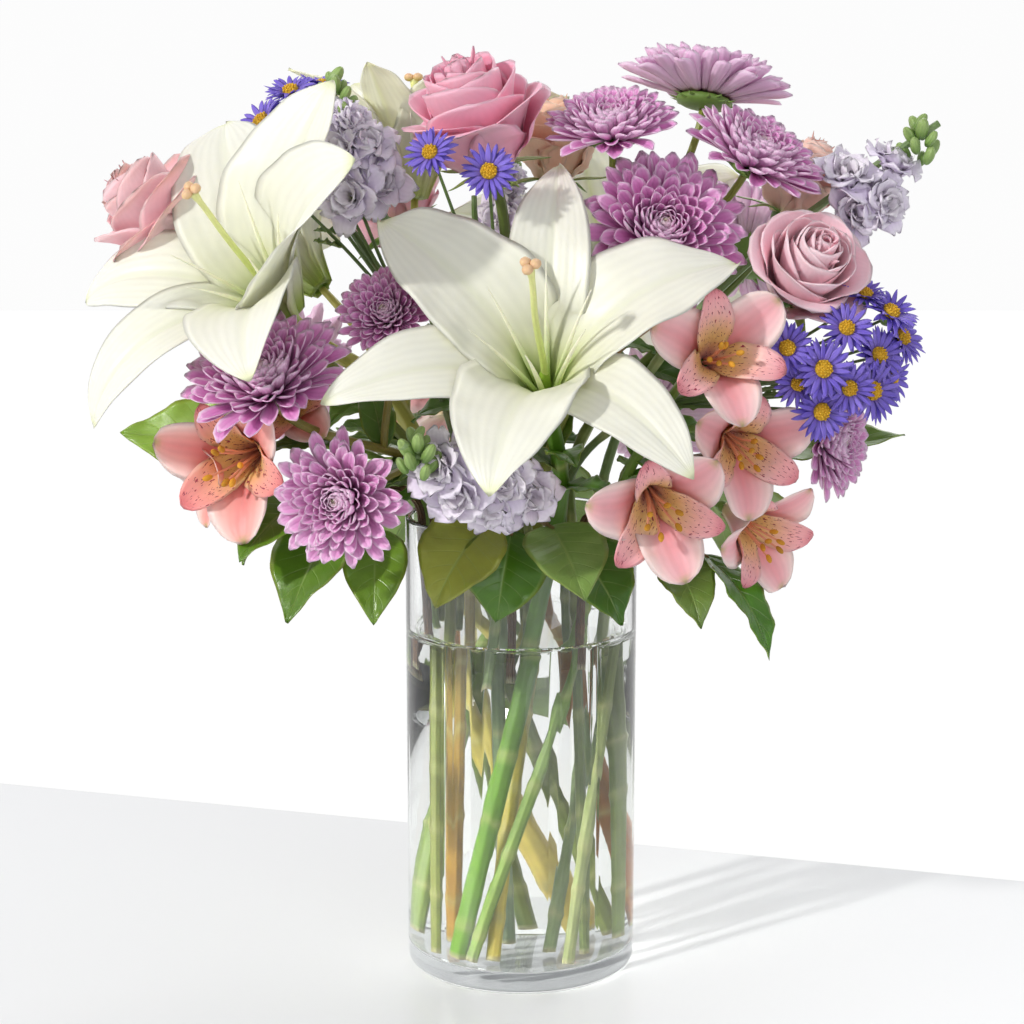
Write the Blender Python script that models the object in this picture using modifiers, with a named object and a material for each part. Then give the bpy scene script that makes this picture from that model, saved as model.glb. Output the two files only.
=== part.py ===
"""Mixed lily bouquet standing in a clear glass cylinder vase, metres, +Z up.

The origin is the centre of the vase's flat underside.  -Y is the front of the
arrangement.  Every cut stem leans in the vase on a spiral, crosses the others
without touching them and fans out above the mouth to carry its flower heads.
"""
import math

import bmesh
import bpy
from mathutils import Matrix, Vector

MM = 0.001

# ---- driving dimensions ----------------------------------------------------
VASE_R = 50.8 * MM        # outer radius, a 4 inch cylinder
VASE_H = 203.0 * MM       # 8 inches tall
WALL = 3.0 * MM
FLOOR = 9.0 * MM          # thickness of the glass foot
WATER_Z = 152.0 * MM      # water surface above the table
GAP = 0.3 * MM            # clearance between touching pieces
STEM_Z = 10.8 * MM        # height of the cut ends above the table
MOUTH_Z = 203.0 * MM
PETAL_T = 1.2 * MM

for old in list(bpy.data.objects):
    bpy.data.objects.remove(old, do_unlink=True)

parts = bpy.data.collections.new("lily_bouquet_in_vase")
cutters = bpy.data.collections.new("cutters")
bpy.context.scene.collection.children.link(parts)
bpy.context.scene.collection.children.link(cutters)
cutters.hide_render = True


# ---- materials -------------------------------------------------------------
def material(name, rgb, roughness=0.6, metallic=0.0, glass=False):
    mat = bpy.data.materials.new(name)
    mat.use_nodes = True
    shader = mat.node_tree.nodes["Principled BSDF"]
    shader.inputs["Base Color"].default_value = (*rgb, 1.0)
    shader.inputs["Roughness"].default_value = roughness
    shader.inputs["Metallic"].default_value = metallic
    if glass:
        shader.inputs["Transmission Weight"].default_value = 1.0
    mat.diffuse_color = (*rgb, 1.0)
    return mat


COLOURS = {
    "glass": (0.86, 0.90, 0.90),
    "water": (0.88, 0.92, 0.90),
    "lily": (0.86, 0.86, 0.74),
    "rose": (0.80, 0.33, 0.43),
    "mum": (0.55, 0.20, 0.42),
    "stock": (0.66, 0.56, 0.76),
    "aster": (0.20, 0.12, 0.50),
    "alstro": (0.84, 0.38, 0.36),
    "leaf": (0.09, 0.19, 0.03),
    "stem": (0.24, 0.32, 0.07),
}


# ---- small helpers ---------------------------------------------------------
def link(name, mesh, kind, collection=parts):
    obj = bpy.data.objects.new(name, mesh)
    collection.objects.link(obj)
    base = COLOURS[kind]
    obj.data.materials.clear()
    obj.data.materials.append(
        material(name + "_mat", base, 0.05 if kind in ("glass", "water") else 0.6,
                 glass=kind in ("glass", "water"))
    )
    return obj


def evaluated_mesh(obj):
    """The object's mesh with its modifiers, welded, in its own space."""
    bpy.context.view_layer.update()
    graph = bpy.context.evaluated_depsgraph_get()
    mesh = bpy.data.meshes.new_from_object(obj.evaluated_get(graph))
    bm = bmesh.new()
    bm.from_mesh(mesh)
    bmesh.ops.remove_doubles(bm, verts=bm.verts, dist=1e-6)
    bmesh.ops.recalc_face_normals(bm, faces=bm.faces)
    bm.to_mesh(mesh)
    bm.free()
    return mesh


def temp(mesh, name="tmp"):
    obj = bpy.data.objects.new(name, mesh)
    cutters.objects.link(obj)
    obj.hide_render = True
    obj.display_type = "WIRE"
    return obj


def baked(obj):
    """Replaces a scratch object by its evaluated mesh and returns the mesh."""
    mesh = evaluated_mesh(obj)
    matrix = obj.matrix_world.copy()
    bpy.data.objects.remove(obj, do_unlink=True)
    mesh.transform(matrix)
    return mesh


def boolean(mesh, others, operation):
    """Boolean of a mesh with other meshes, all in world space, one at a time."""
    for other in others:
        a = temp(mesh)
        b = temp(other)
        mod = a.modifiers.new("bool", "BOOLEAN")
        mod.operation = operation
        mod.solver = "EXACT"
        mod.object = b
        mesh = evaluated_mesh(a)
        bpy.data.objects.remove(a, do_unlink=True)
        bpy.data.objects.remove(b, do_unlink=True)
    return mesh


def turned(profile, steps):
    """A solid of revolution: a profile from axis to axis with a Screw."""
    mesh = bpy.data.meshes.new("profile")
    points = [(r, 0.0, z) for r, z in profile]
    mesh.from_pydata(points, [(i, i + 1) for i in range(len(points) - 1)], [])
    obj = temp(mesh)
    mod = obj.modifiers.new("screw", "SCREW")
    mod.steps = mod.render_steps = steps
    mod.use_merge_vertices = True
    mod.merge_threshold = 0.00001
    return baked(obj)


def tube(points, radius, sides=1):
    """A round bar along points, with closed ends, as a mesh."""
    curve = bpy.data.curves.new("tube", "CURVE")
    curve.dimensions = "3D"
    curve.bevel_depth = radius if isinstance(radius, float) else radius[0]
    curve.bevel_resolution = sides
    curve.use_fill_caps = True
    curve.twist_mode = "MINIMUM"
    spline = curve.splines.new("POLY")
    spline.points.add(len(points) - 1)
    for i, (slot, p) in enumerate(zip(spline.points, points)):
        slot.co = (*p, 1.0)
        if not isinstance(radius, float):
            t = i / (len(points) - 1)
            slot.radius = (radius[0] + (radius[1] - radius[0]) * t) / radius[0]
    obj = temp(curve)
    return baked(obj)


def stand(axis, up=(0.0, 0.0, 1.0)):
    """Rotation whose Z is the axis, whose Y leans to up and whose X is right."""
    z = Vector(axis).normalized()
    y = Vector(up) - z * Vector(up).dot(z)
    y.normalize()
    x = y.cross(z)
    return Matrix((x, y, z)).transposed()


def placed(mesh, base, axis, roll=0.0, scale=1.0, up=(0.0, 0.0, 1.0)):
    turn = stand(axis, up).to_4x4() @ Matrix.Rotation(math.radians(roll), 4, "Z")
    mesh.transform(Matrix.Translation(Vector(base)) @ turn @ Matrix.Scale(scale, 4))
    return mesh


# ---- a whorl of free petals on a small funnel ------------------------------
def spine(length, start, end, count, power=1.0, r0=3.0 * MM):
    """Points (r, z) along a petal whose angle from the axis runs start->end."""
    r, z, out = r0, 0.0, []
    for i in range(count):
        t = (i + 0.5) / count
        a = math.radians(start + (end - start) * t ** power)
        r += math.sin(a) * length / count
        z += math.cos(a) * length / count
        out.append((r, z, a))
    return out


def whorl(petals, width, count=5, cup=0.25, thick=PETAL_T, throat=0.16, r0=3.0 * MM):
    """petals: (azimuth deg, length, end angle, width factor).  One open sheet
    of a funnel and its free petals, made solid by Solidify."""
    petals = sorted(petals, key=lambda p: p[0] % 360.0)
    n = len(petals)
    bm = bmesh.new()
    lines = [spine(p[1], 14.0, p[2], 12, r0=r0) for p in petals]
    pole = bm.verts.new((0.0, 0.0, 0.0))

    def at(i, k, az):
        r, z, _ = lines[i][k]
        return (r * math.cos(az), r * math.sin(az), z)

    rings = []
    throat_steps = (1, 3)
    for k in throat_steps:
        ring = []
        for i, p in enumerate(petals):
            a0 = math.radians(p[0])
            a1 = math.radians(petals[(i + 1) % n][0])
            if a1 <= a0 + 1e-6:
                a1 += 2 * math.pi
            ring.append(bm.verts.new(at(i, k, a0)))
            mid = (a0 + a1) / 2
            r = (lines[i][k][0] + lines[(i + 1) % n][k][0]) / 2
            z = (lines[i][k][1] + lines[(i + 1) % n][k][1]) / 2
            ring.append(bm.verts.new((r * math.cos(mid), r * math.sin(mid), z)))
        rings.append(ring)
    m = 2 * n
    for j in range(m):
        bm.faces.new((pole, rings[0][j], rings[0][(j + 1) % m]))
        bm.faces.new((rings[0][j], rings[1][j], rings[1][(j + 1) % m], rings[0][(j + 1) % m]))
    for i, p in enumerate(petals):
        az = math.radians(p[0])
        left = rings[1][(2 * i - 1) % m]
        centre = rings[1][2 * i]
        right = rings[1][(2 * i + 1) % m]
        out = Vector((math.cos(az), math.sin(az), 0.0))
        side = Vector((-math.sin(az), math.cos(az), 0.0))
        for step in range(1, count + 1):
            k = 3 + int(round((11 - 3) * step / count))
            r, z, a = lines[i][k]
            t = (k + 1) / 12.0
            half = 0.5 * width * p[3] * math.sin(math.pi * min(1.0, 0.16 + 0.84 * t) ** 1.35) ** 0.75 if t < 1 else 0.0
            mid = out * r + Vector((0, 0, z))
            if step == count:
                tip = bm.verts.new(mid)
                bm.faces.new((left, tip, centre))
                bm.faces.new((centre, tip, right))
                break
            normal = Vector((0, 0, 1)) * math.sin(a) - out * math.cos(a)
            lift = normal * (cup * half)
            a_l = bm.verts.new(mid - side * half + lift)
            a_c = bm.verts.new(mid)
            a_r = bm.verts.new(mid + side * half + lift)
            bm.faces.new((left, a_l, a_c, centre))
            bm.faces.new((centre, a_c, a_r, right))
            left, centre, right = a_l, a_c, a_r
    mesh = bpy.data.meshes.new("whorl")
    bmesh.ops.recalc_face_normals(bm, faces=bm.faces)
    bm.to_mesh(mesh)
    bm.free()
    obj = temp(mesh)
    solid = obj.modifiers.new("solid", "SOLIDIFY")
    solid.thickness = thick
    solid.offset = 0.0
    return baked(obj)


# ---- flower heads ----------------------------------------------------------
def lily_head(base, axis, petals, width=40 * MM, pistil=78 * MM):
    body = whorl(petals, width, 5, 0.18)
    rod = tube([(0, 0, -1.0 * MM), (0, 0, 0.55 * pistil), (0.0, 1.5 * MM, pistil)], (2.2 * MM, 1.4 * MM))
    body = boolean(body, [rod], "UNION")
    return placed(body, base, axis)


def alstro_head(base, axis, size=1.0, roll=0.0):
    petals = [(30 + 60 * i, (44 if i % 2 else 47) * MM, 50 if i % 2 else 62, 1.0 if i % 2 == 0 else 0.8) for i in range(6)]
    body = whorl(petals, 21 * MM, 3, 0.3, thick=1.0 * MM, r0=1.6 * MM)
    return placed(body, base, axis, roll, size)


def rose_head(base, axis, radius, height, roll=0.0):
    """A cup of outer petals around a taller, furled heart, one turned solid
    pressed into five lobes."""
    prof = [(0.0, 0.0), (0.42, 0.04), (0.86, 0.30), (0.98, 0.62), (0.96, 0.86),
            (0.82, 0.90), (0.70, 0.74), (0.52, 0.98), (0.30, 1.0), (0.16, 0.86), (0.0, 0.84)]
    mesh = turned([(r * radius, z * height) for r, z in reversed(prof)], 15)
    for v in mesh.vertices:
        a = math.atan2(v.co.y, v.co.x)
        k = 1.0 + 0.06 * math.cos(5 * a) * min(1.0, v.co.z / (0.6 * height))
        v.co.x *= k
        v.co.y *= k
    return placed(mesh, base, axis, roll)


def mum_head(base, axis, radius, depth, lobes=13, roll=0.0):
    """A domed head of many ray petals, its edge notched once for each of the
    longest rays."""
    prof = [(0.0, 0.0), (0.22, 0.03), (1.0, 0.40), (0.95, 0.50), (0.62, 0.84), (0.0, 1.0)]
    steps = lobes * 2
    mesh = turned([(r * radius, z * depth) for r, z in reversed(prof)], steps)
    for v in mesh.vertices:
        r = math.hypot(v.co.x, v.co.y)
        a = math.atan2(v.co.y, v.co.x)
        k = 1.0 - 0.13 * (1 - math.cos(lobes * a)) * (r / radius) ** 2
        v.co.x *= k
        v.co.y *= k
    return placed(mesh, base, axis, roll)


def lump(centre, axis, radius, flat, detail=1):
    bm = bmesh.new()
    bmesh.ops.create_icosphere(bm, subdivisions=detail, radius=radius)
    mesh = bpy.data.meshes.new("lump")
    bm.to_mesh(mesh)
    bm.free()
    mesh.transform(Matrix.Diagonal((1, 1, flat, 1)))
    return placed(mesh, centre, axis)


def disc(centre, axis, radius, depth, sides=10):
    bm = bmesh.new()
    bmesh.ops.create_cone(bm, cap_ends=True, segments=sides, radius1=radius * 0.35, radius2=radius, depth=depth)
    mesh = bpy.data.meshes.new("disc")
    bm.to_mesh(mesh)
    bm.free()
    return placed(mesh, centre, axis)


def blade(base, direction, length, width, droop=0.25, up=(0, 0, 1), thick=1.0 * MM, fold=0.12):
    """One leaf: a grid drawn to a pointed oval, arched along its length."""
    bm = bmesh.new()
    bmesh.ops.create_grid(bm, x_segments=2, y_segments=4, size=0.5)
    for v in bm.verts:
        t = v.co.y + 0.5
        s = v.co.x * 2
        half = 0.5 * width * max(0.06, math.sin(math.pi * t ** 0.85) ** 0.8 if 0 < t < 1 else 0.06)
        a = droop * t * 1.6
        v.co = Vector((s * half, length * (math.sin(a) / a if a else 1.0) * t, -length * t * (1 - math.cos(a)) / a if a else 0.0))
        v.co.z += fold * abs(s) * half
    mesh = bpy.data.meshes.new("blade")
    bm.to_mesh(mesh)
    bm.free()
    obj = temp(mesh)
    solid = obj.modifiers.new("solid", "SOLIDIFY")
    solid.thickness = thick
    solid.offset = 0.0
    mesh = baked(obj)
    y = Vector(direction).normalized()
    z = Vector(up) - y * Vector(up).dot(y)
    z.normalize()
    x = y.cross(z)
    mesh.transform(Matrix.Translation(Vector(base)) @ Matrix((x, y, z)).transposed().to_4x4())
    return mesh


# ---- routes of the stems ---------------------------------------------------
def bezier(p0, p1, p2, p3, count):
    out = []
    for i in range(1, count + 1):
        t = i / count
        u = 1 - t
        out.append(p0 * u ** 3 + p1 * (3 * u * u * t) + p2 * (3 * u * t * t) + p3 * t ** 3)
    return out


def mm(p):
    return Vector((p[0] * MM, p[1] * MM, p[2] * MM))


def route(bottom, mouth, head, axis, gap, count=4, lift=0.35):
    """Straight from the cut end to the vase's mouth, then an even curve that
    reaches the head along its axis."""
    lo = Vector((bottom[0] * MM, bottom[1] * MM, (bottom[2] * MM) if len(bottom) > 2 else STEM_Z))
    hi = Vector((mouth[0] * MM, mouth[1] * MM, MOUTH_Z))
    end = Vector(head) - Vector(axis).normalized() * gap
    reach = (end - hi).length
    c1 = hi + (hi - lo).normalized() * reach * lift
    c2 = end - Vector(axis).normalized() * reach * 0.33
    return [lo, hi] + bezier(hi, c1, c2, end, count)


def twig(start, head, axis, gap, count=3, lift=0.3):
    """A side branch from a point of the main stem to a head."""
    end = Vector(head) - Vector(axis).normalized() * gap
    reach = (end - start).length
    return [start] + bezier(start, start + Vector((0, 0, 1)) * reach * lift * 0.6 + (end - start) * 0.2,
                            end - Vector(axis).normalized() * reach * 0.33, end, count)


# ---- the arrangement (millimetres) -----------------------------------------
# lily heads: base of the head, axis, petals (azimuth, length, end angle, width)
LILIES = {
    "lily_front": ((10, -92, 265), (-0.10, -0.68, 0.72),
                   [(30, 102, 118, 1.1), (88, 104, 106, 0.85), (144, 104, 104, 1.15),
                    (207, 106, 112, 0.9), (262, 102, 104, 1.15), (316, 106, 122, 0.9)]),
    "lily_left": ((-94, -66, 296), (-0.42, -0.62, 0.66),
                  [(20, 100, 70, 1.1), (68, 100, 84, 1.05), (122, 100, 112, 1.05),
                   (192, 99, 124, 0.9), (238, 108, 136, 0.85), (306, 98, 98, 1.0)]),
    "lily_top": ((-46, 8, 340), (0.0, 0.15, 0.99),
                 [(0, 78, 70, 0.85), (58, 64, 48, 0.8), (120, 64, 44, 0.8),
                  (182, 84, 96, 0.85), (240, 80, 76, 0.9), (300, 80, 72, 0.9)]),
    "lily_left_back": ((-88, 22, 300), (-0.66, 0.42, 0.62),
                       [(10, 74, 80, 0.9), (70, 78, 88, 0.9), (130, 80, 96, 0.95),
                        (190, 78, 96, 0.9), (250, 76, 92, 0.9), (310, 72, 84, 0.85)]),
    "lily_back": ((38, 82, 284), (0.16, 0.78, 0.60),
                  [(20, 100, 112, 1.0), (80, 98, 104, 0.95), (140, 100, 110, 1.0),
                   (200, 100, 114, 0.95), (260, 98, 104, 1.0), (320, 100, 112, 0.95)]),
}

# rose heads: base, axis, radius, height
ROSES = {
    "rose_top": ((-11, -56, 350), (-0.30, -0.22, 0.93), 27, 48),
    "rose_right": ((109, -50, 301), (0.24, -0.74, 0.60), 24, 44),
    "rose_left": ((-128, -36, 316), (-0.72, -0.10, 0.68), 23, 44),
    "rose_top_back": ((14, -12, 344), (0.05, 0.05, 1.0), 18, 38),
    "rose_right_back": ((110, -6, 330), (0.45, 0.05, 0.88), 20, 38),
    "rose_back": ((-54, 86, 318), (-0.34, 0.62, 0.70), 26, 46),
}

# chrysanthemum heads: centre of the back, axis, radius, depth
MUMS = {
    "mum_centre": ((55, -60, 326), (0.10, -0.86, 0.42), 32, 24),
    "mum_top_right": ((76, -14, 378), (0.15, 0.20, 0.95), 34, 20),
    "mum_right": ((91, -50, 353), (0.40, -0.40, 0.82), 28, 17),
    "mum_upper": ((36, -60, 364), (-0.10, -0.40, 0.90), 26, 17),
    "mum_left": ((-98, -98, 268), (-0.20, -0.60, 0.76), 31, 20),
    "mum_lower_left": ((-68, -102, 228), (-0.30, -0.90, 0.02), 26, 20),
    "mum_lower_right": ((122, -50, 243), (0.80, -0.56, 0.0), 23, 18),
    "mum_middle": ((-52, -84, 296), (-0.20, -0.85, 0.50), 19, 14),
    "mum_back_right": ((100, 58, 310), (0.62, 0.66, 0.42), 33, 22),
    "mum_back_left": ((-100, 88, 252), (-0.62, 0.76, 0.16), 32, 22),
    "mum_back_low": ((62, 104, 232), (0.40, 0.90, 0.10), 30, 21),
}

# Peruvian lily heads: base, axis, scale, roll
ALSTROS = {
    "alstro_upper": ((72, -84, 279), (0.18, -0.94, 0.26), 0.95, 10),
    "alstro_lower": ((50, -74, 228), (0.16, -0.94, -0.22), 1.0, 20),
    "alstro_middle": ((82, -60, 248), (0.30, -0.90, -0.16), 0.92, 0),
    "alstro_side": ((86, -38, 212), (0.50, -0.68, -0.30), 0.9, 30),
    "alstro_left": ((-106, -54, 240), (-0.36, -0.88, -0.05), 1.05, 15),
    "alstro_back": ((-34, 92, 236), (-0.25, 0.94, 0.0), 1.0, 0),
}

# stems in the vase: cut end, mouth, radius at the cut end and at the head
STEMS = {
    "stem_lily_left": ((17, 24), (-36, 14), 4.4, 3.2),
    "stem_lily_front": ((-25, -26), (14, -36), 3.9, 3.0),
    "stem_lily_back": ((-33, 10), (0, 40), 3.0, 3.0),
    "stem_rose_left": ((-34, -22), (-30, -8), 2.6, 2.2),
    "stem_rose_top": ((27, 14), (-16, 4), 2.8, 2.2),
    "stem_rose_right": ((19, -36), (41, -6), 2.6, 2.2),
    "stem_rose_top_back": ((2, 12, 142), (0, 14), 2.2, 2.0),
    "stem_rose_right_back": ((33, 2), (22, 30), 2.6, 2.2),
    "stem_rose_back": ((2, 38), (-22, 34), 2.5, 2.2),
    "stem_mum_right": ((-11, -30), (8, 10), 2.9, 2.0),
    "stem_mum_left": ((-22, 2), (-22, -26), 2.2, 1.8),
    "stem_mum_back": ((34, 18), (4, 26), 3.2, 2.0),
    "stem_alstro_right": ((-20, -32), (38, -22), 2.6, 1.8),
    "stem_alstro_left": ((-38, 8, 140), (-42, -2), 1.8, 1.6),
    "stem_mum_back_left": ((-36, 18, 142), (-40, 20), 2.0, 1.8),
    "stem_alstro_back": ((-12, 42, 142), (-16, 41), 1.8, 1.6),
}


# ---- vase and water --------------------------------------------------------
def build_vase():
    r, w = VASE_R, WALL
    h = VASE_H
    profile = [(0, FLOOR), (r - w - 4 * MM, FLOOR), (r - w - 1 * MM, FLOOR + 1.2 * MM), (r - w, FLOOR + 4 * MM),
               (r - w, h - 1.0 * MM), (r - w + 0.8 * MM, h), (r - 0.8 * MM, h), (r, h - 1.0 * MM),
               (r, 9 * MM), (r - 1.2 * MM, 4 * MM), (r - 4 * MM, 1.2 * MM), (r - 8 * MM, 0), (0, 0)]
    link("vase", turned(profile, 32), "glass")


def build_water(tubes):
    r = VASE_R - WALL - GAP
    profile = [(0, WATER_Z), (r, WATER_Z), (r, FLOOR + 4.2 * MM), (r - 1.1 * MM, FLOOR + 1.5 * MM),
               (r - 4.1 * MM, FLOOR + GAP), (0, FLOOR + GAP)]
    body = turned(profile, 32)
    body = boolean(body, tubes, "DIFFERENCE")
    link("water", body, "water")


build_vase()
bores = []


def bore(bottom, mouth, radius):
    """The hole that a stem stands in: the stem's straight run, GAP wider and
    run out below the water's underside."""
    lo = Vector((bottom[0] * MM, bottom[1] * MM, (bottom[2] * MM) if len(bottom) > 2 else STEM_Z))
    hi = Vector((mouth[0] * MM, mouth[1] * MM, MOUTH_Z))
    d = (hi - lo).normalized()
    start = lo - d * (4.5 * MM if len(bottom) == 2 else 0.5 * MM)
    bores.append(tube([start, hi], radius * MM + 0.45 * MM))


def stem(name, heads, kind="stem", lift=0.35):
    """A main stem to the first head and side branches to the others."""
    bottom, mouth, r0, r1 = STEMS[name]
    bore(bottom, mouth, r0)
    lo = Vector((bottom[0] * MM, bottom[1] * MM, (bottom[2] * MM) if len(bottom) > 2 else STEM_Z))
    first = heads[0]
    path = route(bottom, mouth, first[0], first[1], first[2], lift=lift)
    straight = tube(path[:2], r0 * MM)
    upper = tube([path[1] - (path[1] - path[0]).normalized() * 4 * MM] + path[1:], (r0 * MM * 0.96, r1 * MM))
    body = boolean(straight, [upper], "UNION")
    for base, axis, gap, at in heads[1:]:
        start = path[1 + at] if at >= 0 else path[1]
        body = boolean(body, [tube(twig(start, base, axis, gap), (r1 * MM * 0.9, 1.5 * MM))], "UNION")
    link(name, body, kind)


# ---- the large flowers -----------------------------------------------------
for name, (base, axis, petals) in LILIES.items():
    rows = [(az, length * MM, end, w) for az, length, end, w in petals]
    link(name, lily_head(mm(base), axis, rows), "lily")
for name, (base, axis, radius, height) in ROSES.items():
    link(name, rose_head(mm(base), axis, radius * MM, height * MM), "rose")
for name, (base, axis, radius, depth) in MUMS.items():
    link(name, mum_head(mm(base), axis, radius * MM, depth * MM), "mum")
for name, (base, axis, size, roll) in ALSTROS.items():
    link(name, alstro_head(mm(base), axis, size, roll), "alstro")


def head(table, name, gap=0.9, at=2):
    base, axis = table[name][0], table[name][1]
    return (mm(base), axis, gap * MM, at)


stem("stem_lily_left", [head(LILIES, "lily_left", 2.4), head(LILIES, "lily_top", 2.4, 1), head(LILIES, "lily_left_back", 2.4, 1)], lift=0.6)
stem("stem_lily_front", [head(LILIES, "lily_front", 2.4)])
stem("stem_lily_back", [head(LILIES, "lily_back", 2.4)])
stem("stem_rose_left", [head(ROSES, "rose_left")], lift=0.15)
stem("stem_rose_top", [head(ROSES, "rose_top")])
stem("stem_rose_right", [head(ROSES, "rose_right")])
stem("stem_rose_top_back", [head(ROSES, "rose_top_back")])
stem("stem_rose_right_back", [head(ROSES, "rose_right_back")])
stem("stem_rose_back", [head(ROSES, "rose_back")])
stem("stem_mum_right", [head(MUMS, "mum_centre"), head(MUMS, "mum_top_right"), head(MUMS, "mum_right"), head(MUMS, "mum_upper")])
stem("stem_mum_left", [head(MUMS, "mum_left"), head(MUMS, "mum_lower_left", at=1), head(MUMS, "mum_middle")])
stem("stem_mum_back", [head(MUMS, "mum_back_right"), head(MUMS, "mum_back_low", at=1)])
stem("stem_mum_back_left", [head(MUMS, "mum_back_left")])
stem("stem_alstro_right", [head(ALSTROS, "alstro_upper"), head(ALSTROS, "alstro_middle", at=1),
                           head(ALSTROS, "alstro_lower", at=0), head(ALSTROS, "alstro_side", at=0)])
stem("stem_alstro_left", [head(ALSTROS, "alstro_left")])
stem("stem_alstro_back", [head(ALSTROS, "alstro_back")])


# ---- stems that grew as one piece with their small flowers or leaves -------
def spray(name, bottom, mouth, tip, axis, r0, r1, items, kind, count=4):
    """A stem with small solids joined to it: items are meshes in place."""
    bore(bottom, mouth, r0)
    path = route(bottom, mouth, mm(tip), axis, 0.0, count)
    straight = tube(path[:2], r0 * MM)
    upper = tube([path[1] - (path[1] - path[0]).normalized() * 4 * MM] + path[1:], (r0 * MM * 0.96, r1 * MM))
    body = boolean(straight, [upper] + items(path), "UNION")
    link(name, body, kind)


def florets(rows):
    """Stock florets: (centre, axis, radius) lumps threaded on the stem."""
    return lambda path: [lump(mm(c), axis, r * MM, flat) for c, axis, r, flat in rows]


def asters(rows, at=-3):
    """Aster discs, each on a thin branch from the main stem."""
    def make(path):
        out = []
        for c, axis, r in rows:
            a = Vector(axis).normalized()
            out.append(disc(mm(c), axis, r * MM, 5 * MM))
            start = path[at]
            end = mm(c)
            out.append(tube([start, (start + end) / 2 - a * 6 * MM, end - a * 1.2 * MM], 0.9 * MM, 0))
        return out
    return make


def leaves(rows):
    """Leaves on a twig: (foot, direction, length, width, droop, face)."""
    def make(path):
        out = []
        for foot, d, length, width, droop, up in rows:
            out.append(blade(mm(foot), d, length * MM, width * MM, droop, up))
            near = min(path[1:], key=lambda p: (p - mm(foot)).length)
            out.append(tube([near, mm(foot) + Vector(d).normalized() * 4 * MM], 0.9 * MM, 0))
        return out
    return make


UP = (0, 0.1, 1)
spray("stock_top_left", (-4, 6), (-10, -16), (-65, -58, 360), (-0.25, -0.3, 0.9), 2.5, 1.7, florets([
    ((-74, -66, 362), (-0.4, -0.8, 0.4), 11, 0.7), ((-62, -62, 366), (0.2, -0.7, 0.7), 11, 0.8),
    ((-70, -70, 344), (-0.3, -0.9, 0.1), 11, 0.7), ((-56, -62, 350), (0.3, -0.9, 0.1), 11, 0.8),
    ((-65, -56, 353), (0.1, 0.05, 1), 13.5, 1.05), ((-75, -51, 384), (0.1, 0, 1), 8, 1.1), ((-71, -55, 372), (0, 0.1, 1), 10.5, 1.1)]), "stock")
spray("stock_right", (10, -14), (34, 10), (172, -30, 372), (0.75, 0.05, 0.5), 2.4, 1.5, florets([
    ((133, -46, 354), (0.1, -0.6, 0.8), 11, 0.8), ((142, -40, 347), (0.4, -0.5, 0.7), 12, 0.9),
    ((137, -50, 337), (0.2, -0.9, 0.1), 10, 0.7), ((150, -46, 340), (0.6, -0.7, 0.1), 10, 0.7),
    ((155, -36, 358), (0.6, -0.3, 0.8), 10, 0.9), ((164, -32, 366), UP, 8, 1.0), ((140, -36, 338), UP, 11, 1.1)]), "stock")
spray("stock_front", (-14, -38, 135), (-6, -38), (-46, -124, 252), (-0.6, -0.4, 0.5), 2.2, 1.5, florets([
    ((-34, -120, 243), (-0.4, -0.9, 0.1), 11, 0.7), ((-20, -114, 246), (0, -0.9, 0.4), 11, 0.7),
    ((-8, -112, 236), (0.2, -0.9, 0), 11, 0.7), ((-26, -118, 231), (-0.2, -0.9, -0.3), 11, 0.7),
    ((-12, -108, 224), (0.1, -0.8, -0.5), 11, 0.7), ((4, -102, 228), (0.5, -0.8, -0.1), 11, 0.7),
    ((-18, -104, 236), UP, 12, 0.9), ((-4, -98, 234), UP, 11, 0.9), ((-40, -122, 249), UP, 8, 1.0)]), "stock")
spray("stock_back", (-4, 42, 142), (-9, 41), (-8, 92, 358), (0.0, 0.4, 0.9), 2.2, 1.5, florets([
    ((-8, 88, 344), UP, 11, 1.1), ((-9, 82, 328), UP, 13, 1.0), ((-9, 76, 312), UP, 13, 1.0), ((-8, 92, 354), UP, 8, 1.1)]), "stock")
spray("aster_middle", (2, -22, 140), (3, -20), (-19, -74, 344), (0.0, -0.2, 0.9), 1.6, 1.1, asters([
    ((-13, -96, 354), (0.0, -0.95, 0.3), 10), ((-35, -100, 361), (-0.3, -0.8, 0.5), 9.5)]), "aster")
spray("aster_right", (24, -20), (18, -10), (128, -70, 272), (0.7, -0.5, 0.1), 2.0, 1.2, asters([
    ((103, -99, 286), (0.0, -0.9, 0.3), 10), ((117, -99, 278), (0.2, -0.9, 0.2), 11),
    ((117, -95, 261), (0.3, -0.9, 0.0), 11), ((138, -86, 268), (0.5, -0.8, 0.1), 12),
    ((147, -72, 297), (0.4, -0.5, 0.8), 11), ((152, -68, 287), (0.7, -0.5, 0.4), 11)]), "aster")
spray("aster_top_left", (-28, 2, 142), (-26, 0), (-94, -26, 360), (-0.5, -0.4, 0.75), 1.8, 1.1, asters([
    ((-106, -34, 372), (-0.6, -0.4, 0.7), 11), ((-108, -44, 355), (-0.6, -0.8, 0.2), 11),
    ((-94, -38, 384), (-0.2, -0.4, 0.9), 10), ((-82, -26, 386), (0.1, 0.0, 1.0), 10)]), "aster")
spray("salal_front", (-4, -30, 141), (-4, -28), (-2, -62, 214), (0.0, -0.9, 0.3), 1.8, 1.4, leaves([
    ((-14, -64, 212), (-0.50, -0.70, -0.42), 52, 36, 0.7, (0, -0.6, 0.8)),
    ((-4, -66, 208), (-0.14, -0.60, -0.55), 46, 34, 0.8, (0, -0.8, 0.6)),
    ((12, -66, 210), (0.28, -0.80, -0.25), 48, 34, 0.7, (0, -0.5, 0.9)),
    ((18, -60, 204), (0.55, -0.60, -0.40), 52, 34, 0.7, (0.2, -0.6, 0.8))]), "leaf")
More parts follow.
